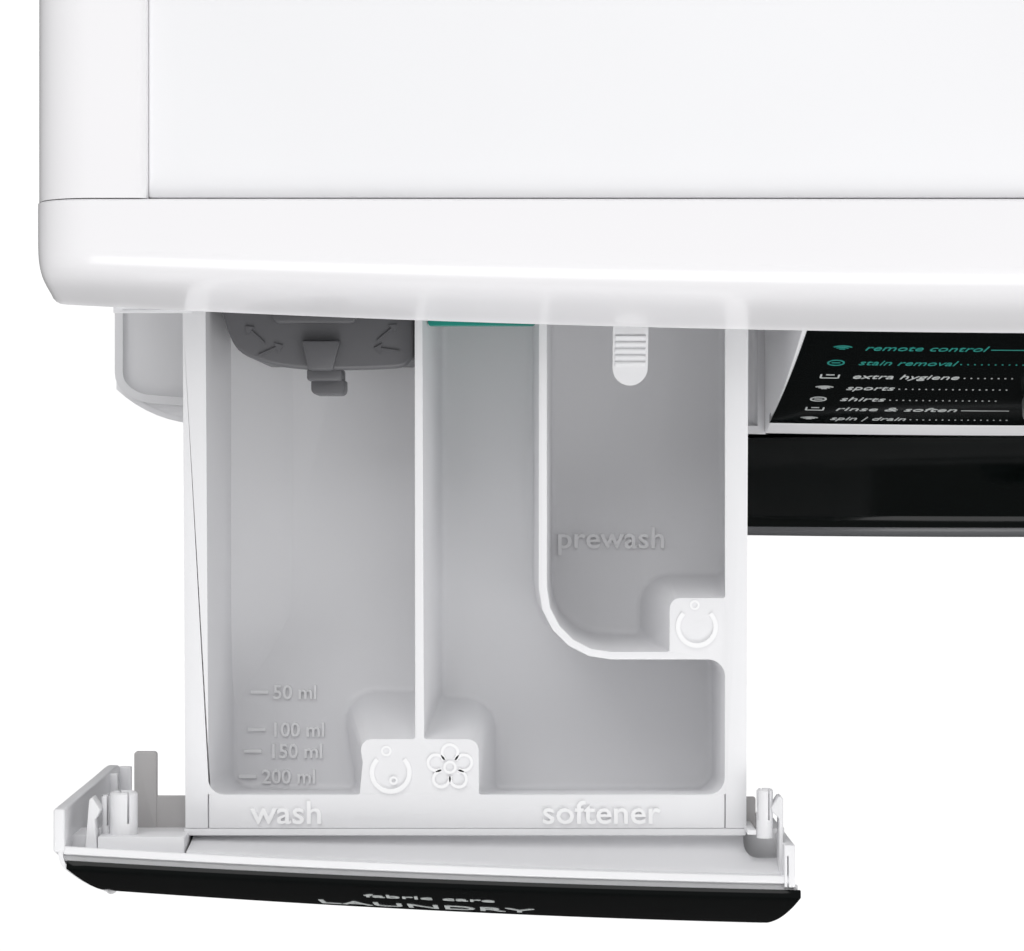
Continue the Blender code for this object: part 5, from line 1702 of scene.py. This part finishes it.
        Bench.emboss(piece, between, 22, 0.0, 1.0)
        dome = Bench.block("back_dome", (-190, 521.2, 110), (190, 545, 685))
        Bench.bevel(dome, lambda mid, way: mid.y > 544 or (mid.y > 522 and abs(way.y) > 0.9), 14, 6)
        ribs = [Bench.block("cut_rib", (-150, 543.4, z), (150, 546, z + 9)) for z in range(180, 640, 44)]
        for rib in ribs:
            Bench.bevel(rib, lambda mid, way: abs(way.y) > 0.9, 4.4, 5)
        Bench.cut(dome, *ribs)
        piece = Bench.unite(piece, dome)
        place(Bench.soften(piece, 0.5, 2, 50), WHITE_ENAMEL, "cabinet", "back_cover")
        spots = [(x, z) for x in (-203, 203) for z in (98, 300, 500, 697)] + [(0, 98), (0, 697)]
        profile = [
            (0, 521.2), (4.4, 521.2), (4.4, 521.8), (3.6, 523.2), (1.6, 523.6), (1.6, 522.8), (0, 522.8)
        ]
        (x0, z0), *others = spots
        first = Bench.turned("back_screw", profile, (x0, 0, z0), segments=24)
        screws = [first] + [
            Bench.copied(first, "back_screw", Matrix.Translation(((x - x0) * MM, 0, (z - z0) * MM)))
            for x, z in others
        ]
        place(Bench.join(*screws), ZINC_STEEL, "cabinet")
        profile = [(0, 500), (12.4, 500), (12.4, 522), (17, 522), (17, 526), (12.4, 526.4)]
        for step in range(5):
            y = 527 + step * 3
            profile += [(12.2, y), (13.1, y + 1.2), (12.2, y + 2.4)]
        profile += [(11.8, 543), (8.2, 543), (8.2, 530), (0, 530)]
        valve = Bench.turned("inlet_connector", profile, (-235, 0, 775), segments=48)
        place(valve, VALVE_BLUE, "cabinet")
        profile = [(0, 500), (8.8, 500), (8.8, 520.4), (13, 520.4), (13, 526)]
        profile += smooth([(12, 528), (9.5, 531), (8.2, 535), (7, 540)], 3)
        profile += [(5.2, 540), (4.8, 534), (0, 534)]
        gland = Bench.turned("mains_gland", profile, (240, 0, 120), segments=40)
        place(gland, RUBBER_BLACK, "cabinet", "mains_gland")

    def foot_set(self) -> None:
        """Turns one levelling foot with its nut and copies it to the four corners."""
        profile = [
            (0, 0), (17, 0), (18.4, 0.7), (19, 2), (19, 5.4), (17.6, 7), (10.6, 9.2), (10, 10), (10, 12),
            (0, 12)
        ]
        x, y = self.feet[0]
        first = Bench.turned("foot_pad", profile, (x, y, 0), (0, 0, 1), 48)
        nut = Bench.prism("foot_nut", circle(x, y, 9.6, 6), "Z", 12.2, 17.6)
        Bench.soften(nut, 0.6, 2, 40)
        stem = Bench.rod("foot_stem", (x, y, 11), (x, y, 33.8), 5, 24)
        names = ("front_left", "front_right", "rear_left", "rear_right")
        for name, (fx, fy) in zip(names, self.feet):
            shift = Matrix.Translation(((fx - x) * MM, (fy - y) * MM, 0))
            pad = Bench.copied(first, f"foot_pad_{name}", shift)
            place(pad, RUBBER_BLACK, "cabinet", f"foot_{name}")
            steel = Bench.join(Bench.copied(nut, "foot_nut", shift), Bench.copied(stem, "foot_stem", shift))
            steel.name = f"foot_stud_{name}"
            place(steel, ZINC_STEEL, "cabinet", f"foot_{name}")
        for spare in (first, nut, stem):
            bpy.data.objects.remove(spare)


@dataclass
class Door:
    """The round door: ring, accent, smoked cover, glass bowl, hook and hinge."""

    radius: float = 240.0
    front: float = -34.7
    hinge_x: float = -252.0
    hinge_y: float = -8.0
    segments: int = 144

    def build(self) -> None:
        """Builds the ring and its accent, the cover, the bowl, the hook and the hinge."""
        self.ring()
        self.cover()
        self.bowl()
        self.hardware()

    def upright(self, name: str, half: float, radius: float, segments: int) -> Object:
        """Adds a round bar on the hinge's axis, as far above the door's middle as below it."""
        low = (self.hinge_x, self.hinge_y, AXIS_Z - half)
        return Bench.rod(name, low, (self.hinge_x, self.hinge_y, AXIS_Z + half), radius, segments)

    def ring(self) -> None:
        """Turns the deep black ring and the grey accent that frames the cover."""
        r = self.radius
        profile = [
            (172, -2), (r - 2.4, -2), (r - 0.7, -2.6), (r, -4.2), (r, -27.6), (r - 0.2, -28.4),
            (r - 2.4, -31.0), (r - 3.1, -31.7), (226.5, -31.7), (226.5, -29), (186, -28.2), (172, -27.4),
        ]
        piece = Bench.turned("door_ring", profile, DRUM_AXIS, segments=self.segments)
        arm = Bench.block("door_arm", (-251, -12, AXIS_Z - 27.6), (-230, -4, AXIS_Z + 27.6))
        Bench.bevel(arm, lambda mid, way: abs(way.x) > 0.9, 2.0, 3)
        knuckle = self.upright("door_knuckle", 27.6, 5.5, 32)
        Bench.unite(piece, arm, knuckle)
        low, high = AXIS_Z - 50, AXIS_Z + 50
        grip = rounded([(214, low, 8), (256, low, 1), (256, high, 1), (214, high, 8)])
        Bench.cut(piece, Bench.prism("cut_grip", grip, "Y", -23, 5))
        place(piece, BLACK_GLOSS, "door", "door_frame", angle=34)
        profile = [
            (226.7, -30.4), (226.7, -34.0), (227.6, self.front), (232.6, self.front), (235.4, -34.0),
            (236.7, -32.4), (236.8, -31.4), (231, -31.0),
        ]
        accent = Bench.turned("door_accent_ring", profile, DRUM_AXIS, segments=self.segments)
        place(accent, DARK_RING, "door", "door_frame", angle=40)

    def cover(self) -> None:
        """Turns the domed smoked cover, black round its edge and clearer in the middle."""
        outer = smooth([(0, -38.2), (60, -38.0), (120, -37.3), (180, -35.9), (210, -34.8), (223, -33.8)], 4)
        inner = smooth([(223.4, -30.2), (200, -31.6), (120, -33.8), (60, -34.4), (0, -34.6)], 4)
        profile = [*outer, (225.2, -33.0), (225.8, -31.6), (225.6, -30.0), *inner]
        piece = Bench.turned("door_cover", profile, DRUM_AXIS, segments=self.segments)
        place(piece, SMOKED, "door", "door_cover", angle=40)
        band = [(150, -33.0), (226, -30.4), (226, -29.6), (150, -32.2)]
        mask = Bench.turned("door_cover_band", band, DRUM_AXIS, segments=self.segments)
        Bench.form(mask, lambda p: Vector((p.x, p.y + 1.1, p.z)))
        place(mask, BLACK_GLOSS, "door", "door_cover", angle=40)

    def bowl(self) -> None:
        """Turns the pressed glass bowl with its slanted foot and thick lip."""
        outer = smooth([
            (170, -12), (170, -6.4), (166, -4.4), (155, -3.4), (150, 2), (146.6, 20), (138, 56), (127, 74),
            (110, 85), (84, 91), (50, 94.4), (0, 95.5),
        ], 4)
        inner = smooth(
            [(0, 91), (50, 89.9), (82, 86.4), (105, 80.4), (121, 69), (132, 52), (141, 18), (145, -12)], 4
        )
        piece = Bench.turned("door_glass", [*outer, *inner], DRUM_AXIS, segments=self.segments)
        place(piece, CLEAR_GLASS, "door", "door_glass", angle=50)
        profile = [
            (170.6, -27.2), (176, -27.2), (176, -2.4), (171, -2.4), (160, -1.2), (152.6, -1.4),
            (152.2, -2.6), (166, -3.6), (170.6, -5.8),
        ]
        clamp = Bench.turned("door_bowl_clamp", profile, DRUM_AXIS, segments=self.segments)
        place(clamp, DARK_PP, "door", "door_frame", angle=40)

    def hardware(self) -> None:
        """Makes the latch hook and the steel hinge with its screws."""
        shape = rounded([
            (198, -1.2, 0.3), (205, -1.2, 0.3), (205, 14, 0.8), (209, 17, 0.8), (209, 19.4, 1),
            (205, 26, 1.4), (198, 26, 1.4),
        ], 4)
        hook = Bench.prism("door_hook", shape, "Z", AXIS_Z - 9, AXIS_Z + 9)
        Bench.cut(hook, Bench.block("cut_hook_eye", (194, 12, AXIS_Z - 4), (204, 20, AXIS_Z + 4)))
        place(Bench.soften(hook, 0.4, 2, 50), ZINC_STEEL, "door_catch", "door_hook")
        face = bow(self.hinge_x) - 0.7
        foot, top = AXIS_Z - 46, AXIS_Z + 46
        outline = rounded([(-263, foot, 4), (-244, foot, 4), (-244, top, 4), (-263, top, 4)])
        plate = Bench.prism("hinge_plate", outline, "Y", 1.5, face)
        ears = []
        for low, high in ((foot, AXIS_Z - 28.4), (AXIS_Z + 28.4, top)):
            ear = Bench.block("ear", (-259, -14, low), (-246, 3, high))
            ears.append(Bench.bevel(ear, lambda mid, way: mid.y < 0 and abs(way.z) > 0.9, 5.4, 5))
        pin = self.upright("pin", 47, 2.6, 24)
        piece = Bench.unite(plate, *ears)
        head = [(0, 0), (3.4, 0), (3.0, -1.4), (1.2, -1.8), (1.2, -1.0), (0, -1.0)]
        screws = [Bench.turned("screw", head, (-250, 1.6, AXIS_Z + z), segments=20) for z in (-20, 20)]
        piece = Bench.join(Bench.soften(piece, 0.5, 2, 50), pin, *screws)
        place(piece, ZINC_STEEL, "cabinet", "hinge_bracket")


@dataclass
class WashGroup:
    """What shows through the porthole: the bellows gasket, the drum and its lifters."""

    drum_radius: float = 245.0
    segments: int = 128

    def build(self) -> None:
        """Builds the gasket, the drum and the lifters."""
        self.gasket()
        self.drum()
        self.lifters()

    def gasket(self) -> None:
        """Turns the gasket with its lip, its deep bellows fold and its bead round the porthole."""
        outer = smooth([
            (174.4, 3.6), (174.5, 7.4), (173.6, 10.6), (169.6, 12.6), (169.0, 19), (168.8, 26), (166.4, 30),
            (165.0, 34), (166.8, 38.4), (169.0, 43), (169.0, 52), (169.0, 61.4),
        ], 4)
        inner = smooth([
            (160.2, 61.4), (160.4, 50), (159.4, 43.6), (156.4, 37.6), (155.6, 34), (157.0, 29.8),
            (159.6, 24), (158.4, 17), (157.6, 10), (160.4, 4.0), (166, 3.2), (172, 3.2),
        ], 4)
        piece = Bench.turned("door_gasket", [*outer, *inner], DRUM_AXIS, segments=self.segments)
        place(piece, RUBBER_GREY, "cabinet", "door_gasket", angle=60)

    def drum(self) -> None:
        """Turns the drum with its rolled mouth, its creases and its domed back."""
        r = self.drum_radius
        skin = smooth([
            (165, 101.5), (164.6, 98), (167, 95.4), (172, 95), (200, 95.4), (230, 97.6), (239, 100.4),
            (244, 106),
        ], 4)
        skin += [(r, 112), (r, 150), (r - 0.8, 153), (r - 0.8, 327), (r, 330), (r, 372)]
        skin += smooth([(r, 378), (242.6, 384.8), (236, 388.2), (210, 388.5)], 4) + [(0, 388.5)]
        inside = [(0, 386.6), (60, 386.6), (70, 384.6), (150, 384.6), (160, 387), (209, 387)]
        inside += smooth([(234, 386.8), (240.6, 383.8), (243.6, 377)], 4)
        inside += [(243.6, 331), (242.8, 327), (242.8, 153), (243.6, 149), (243.6, 112)]
        inside += smooth(
            [(242.6, 106.8), (238, 102), (229, 99.4), (200, 97), (172, 96.6), (168, 97.4), (166.6, 101.5)],
            4
        )
        piece = Bench.turned("drum_shell", [*skin, *inside], DRUM_AXIS, segments=self.segments)
        place(piece, STAINLESS, "drum", "drum_shell", angle=50)

    def lifters(self) -> None:
        """Models one lifter with its rounded crest and turns copies of it round the axis."""
        flank = smooth(
            [(-30, 238), (-27.4, 231.6), (-22, 221), (-16, 210.4), (-10, 203.8), (-4.6, 201.4), (0, 201)], 4
        )
        crest = flank + [(-a, b) for a, b in flank[-2::-1]]
        shape = [(a, AXIS_Z + b) for a, b in crest]
        first = Bench.prism("lifter", shape, "Y", 140, 340, 20)

        def taper(point: Vector) -> Vector:
            near = min(point.y - 140, 340 - point.y)
            share = math.sqrt(max(0.0, 1 - (1 - min(1.0, near / 26)) ** 2)) * 0.55 + 0.45
            base = AXIS_Z + 238
            return Vector((point.x * (0.8 + 0.2 * share), point.y, base + (point.z - base) * share))

        Bench.form(first, taper)
        axis = at(*DRUM_AXIS)
        for number, angle in enumerate((0, 120, 240), 1):
            swing = Matrix.Rotation(math.radians(angle), 4, "Y")
            turn = Matrix.Translation(axis) @ swing @ Matrix.Translation(-axis)
            piece = Bench.copied(first, f"drum_lifter_{number}", turn)
            corners = [vertex.co for vertex in piece.data.vertices]
            middle = design(sum(corners, Vector()) / len(corners))
            place(piece, GREY_PP, "drum", self.node_at(middle), angle=50)
        bpy.data.objects.remove(first)

    def node_at(self, where: Vector) -> str:
        """Finds the CAD lifter that stands where a modelled one does."""
        def away(name: str) -> float:
            low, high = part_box(name)
            return (design((low + high) / 2) - where).length

        return min((f"drum_lifter_{number}" for number in (1, 2, 3)), key=away)


@dataclass
class HiddenParts:
    """The frame's own solids that stay, each in the finish of the real part."""

    finishes: dict[Finish, str] = field(default_factory=lambda: {
        DARK_PP: "base_tray",
        GREY_PP: "dispenser_housing tub_front tub_rear damper_cylinder_left damper_cylinder_right drain_pump",
        CONCRETE: "front_weight top_weight",
        CAST_ALUMINIUM: "drum_spider drum_pulley motor_case",
        ZINC_STEEL: "bearing_front bearing_rear heater motor_pulley damper_rod_left damper_rod_right"
                    " spring_left spring_right",
        RUBBER_BLACK: "dispenser_hose sump_hose drive_belt",
        BOARD_GREEN: "control_board",
        VALVE_BLUE: "inlet_valve",
        WHITE_ABS: "door_lock",
    })

    def build(self) -> None:
        """Gives each kept solid its finish."""
        for finish, names in self.finishes.items():
            for name in names.split():
                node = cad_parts[name]
                node.data.materials.clear()
                node.data.materials.append(finish.material())
                LOG.info("%s: %s", name, finish.name)


@dataclass
class Studio:
    """The camera, the soft lights and the plain pale floor."""

    camera_x: float = -0.1753
    camera_y: float = -0.20915
    camera_z: float = 1.55
    lens: float = 95.48
    surround_strength: float = 0.52
    mirrored: float = 0.22

    def build(self) -> None:
        """Sets the camera, the world, the lights and the floor."""
        scene = bpy.context.scene
        scene.view_settings.view_transform = "Standard"
        lens = bpy.data.cameras.new("product_camera")
        lens.lens = self.lens
        lens.sensor_width = 36.0
        lens.clip_start, lens.clip_end = 0.01, 20.0
        camera = bpy.data.objects.new("product_camera", lens)
        camera.location = (self.camera_x, self.camera_y, self.camera_z)
        scene.collection.objects.link(camera)
        scene.camera = camera
        self.surround()
        self.light("key_softbox", (1.5, -1.7, 2.9), 1.6, 18.0)
        self.light("front_softbox", (-0.2, -2.4, 2.4), 1.6, 24.0)
        self.light("rear_softbox", (-0.6, 1.9, 3.0), 2.4, 36.0)
        self.floor()

    def surround(self) -> None:
        """Surrounds the machine with soft white light, dimmed where gloss would mirror it."""
        world = bpy.data.worlds.new("pale_studio")
        world.use_nodes = True
        tree = world.node_tree
        ray = add_node(tree, "LightPath", {}).outputs["Is Glossy Ray"]
        lit = add_node(tree, "MapRange", {}, Value=ray, To_Min=self.surround_strength, To_Max=self.mirrored)
        background = tree.nodes["Background"]
        background.inputs["Color"].default_value = linear("#ffffff")
        tree.links.new(lit.outputs["Result"], background.inputs["Strength"])
        bpy.context.scene.world = world

    def light(self, name: str, spot: Point, size: float, power: float) -> None:
        """Hangs one square softbox that faces the machine's top."""
        lamp = bpy.data.lights.new(name, "AREA")
        lamp.size, lamp.energy = size, power
        holder = bpy.data.objects.new(name, lamp)
        holder.location = spot
        holder.rotation_euler = (Vector((-0.1, -0.1, 0.7)) - Vector(spot)).to_track_quat("-Z", "Y").to_euler()
        bpy.context.scene.collection.objects.link(holder)

    def floor(self) -> None:
        """Lays a wide white floor that stays bright under the machine."""
        bpy.ops.object.select_all(action="DESELECT")
        bpy.ops.mesh.primitive_plane_add(size=8, location=(0, 0, -0.0005))
        floor = Bench.settle("studio_floor")
        white = bpy.data.materials.new("matt_studio_paper")
        white.use_nodes = True
        tree = white.node_tree
        shader = tree.nodes["Principled BSDF"]
        shader.inputs["Base Color"].default_value = linear("#f2f2f2")
        shader.inputs["Roughness"].default_value = 0.9
        rays = add_node(tree, "LightPath", {}).outputs
        seen = add_node(tree, "Emission", {}, Color=linear("#ffffff"), Strength=1.05).outputs[0]
        dim = add_node(tree, "Emission", {}, Color=linear("#ffffff"), Strength=0.012).outputs[0]
        paper = add_node(tree, "MixShader", {}, _0=rays["Is Glossy Ray"], _1=shader.outputs[0], _2=dim)
        last = add_node(tree, "MixShader", {}, _0=rays["Is Camera Ray"], _1=paper.outputs[0], _2=seen)
        tree.links.new(last.outputs[0], tree.nodes["Material Output"].inputs["Surface"])
        floor.data.materials.append(white)


def main() -> None:
    """Builds the machine, sub-assembly by sub-assembly, then the studio."""
    logging.basicConfig(level=logging.INFO, format="%(message)s")
    for assembly in (
        TopCover(), Fascia(), Controls(), Drawer(), Casing(), Door(), WashGroup(), HiddenParts(), Studio(),
    ):
        LOG.info("building %s", type(assembly).__name__)
        assembly.build()


if __name__ == "__main__":
    main()
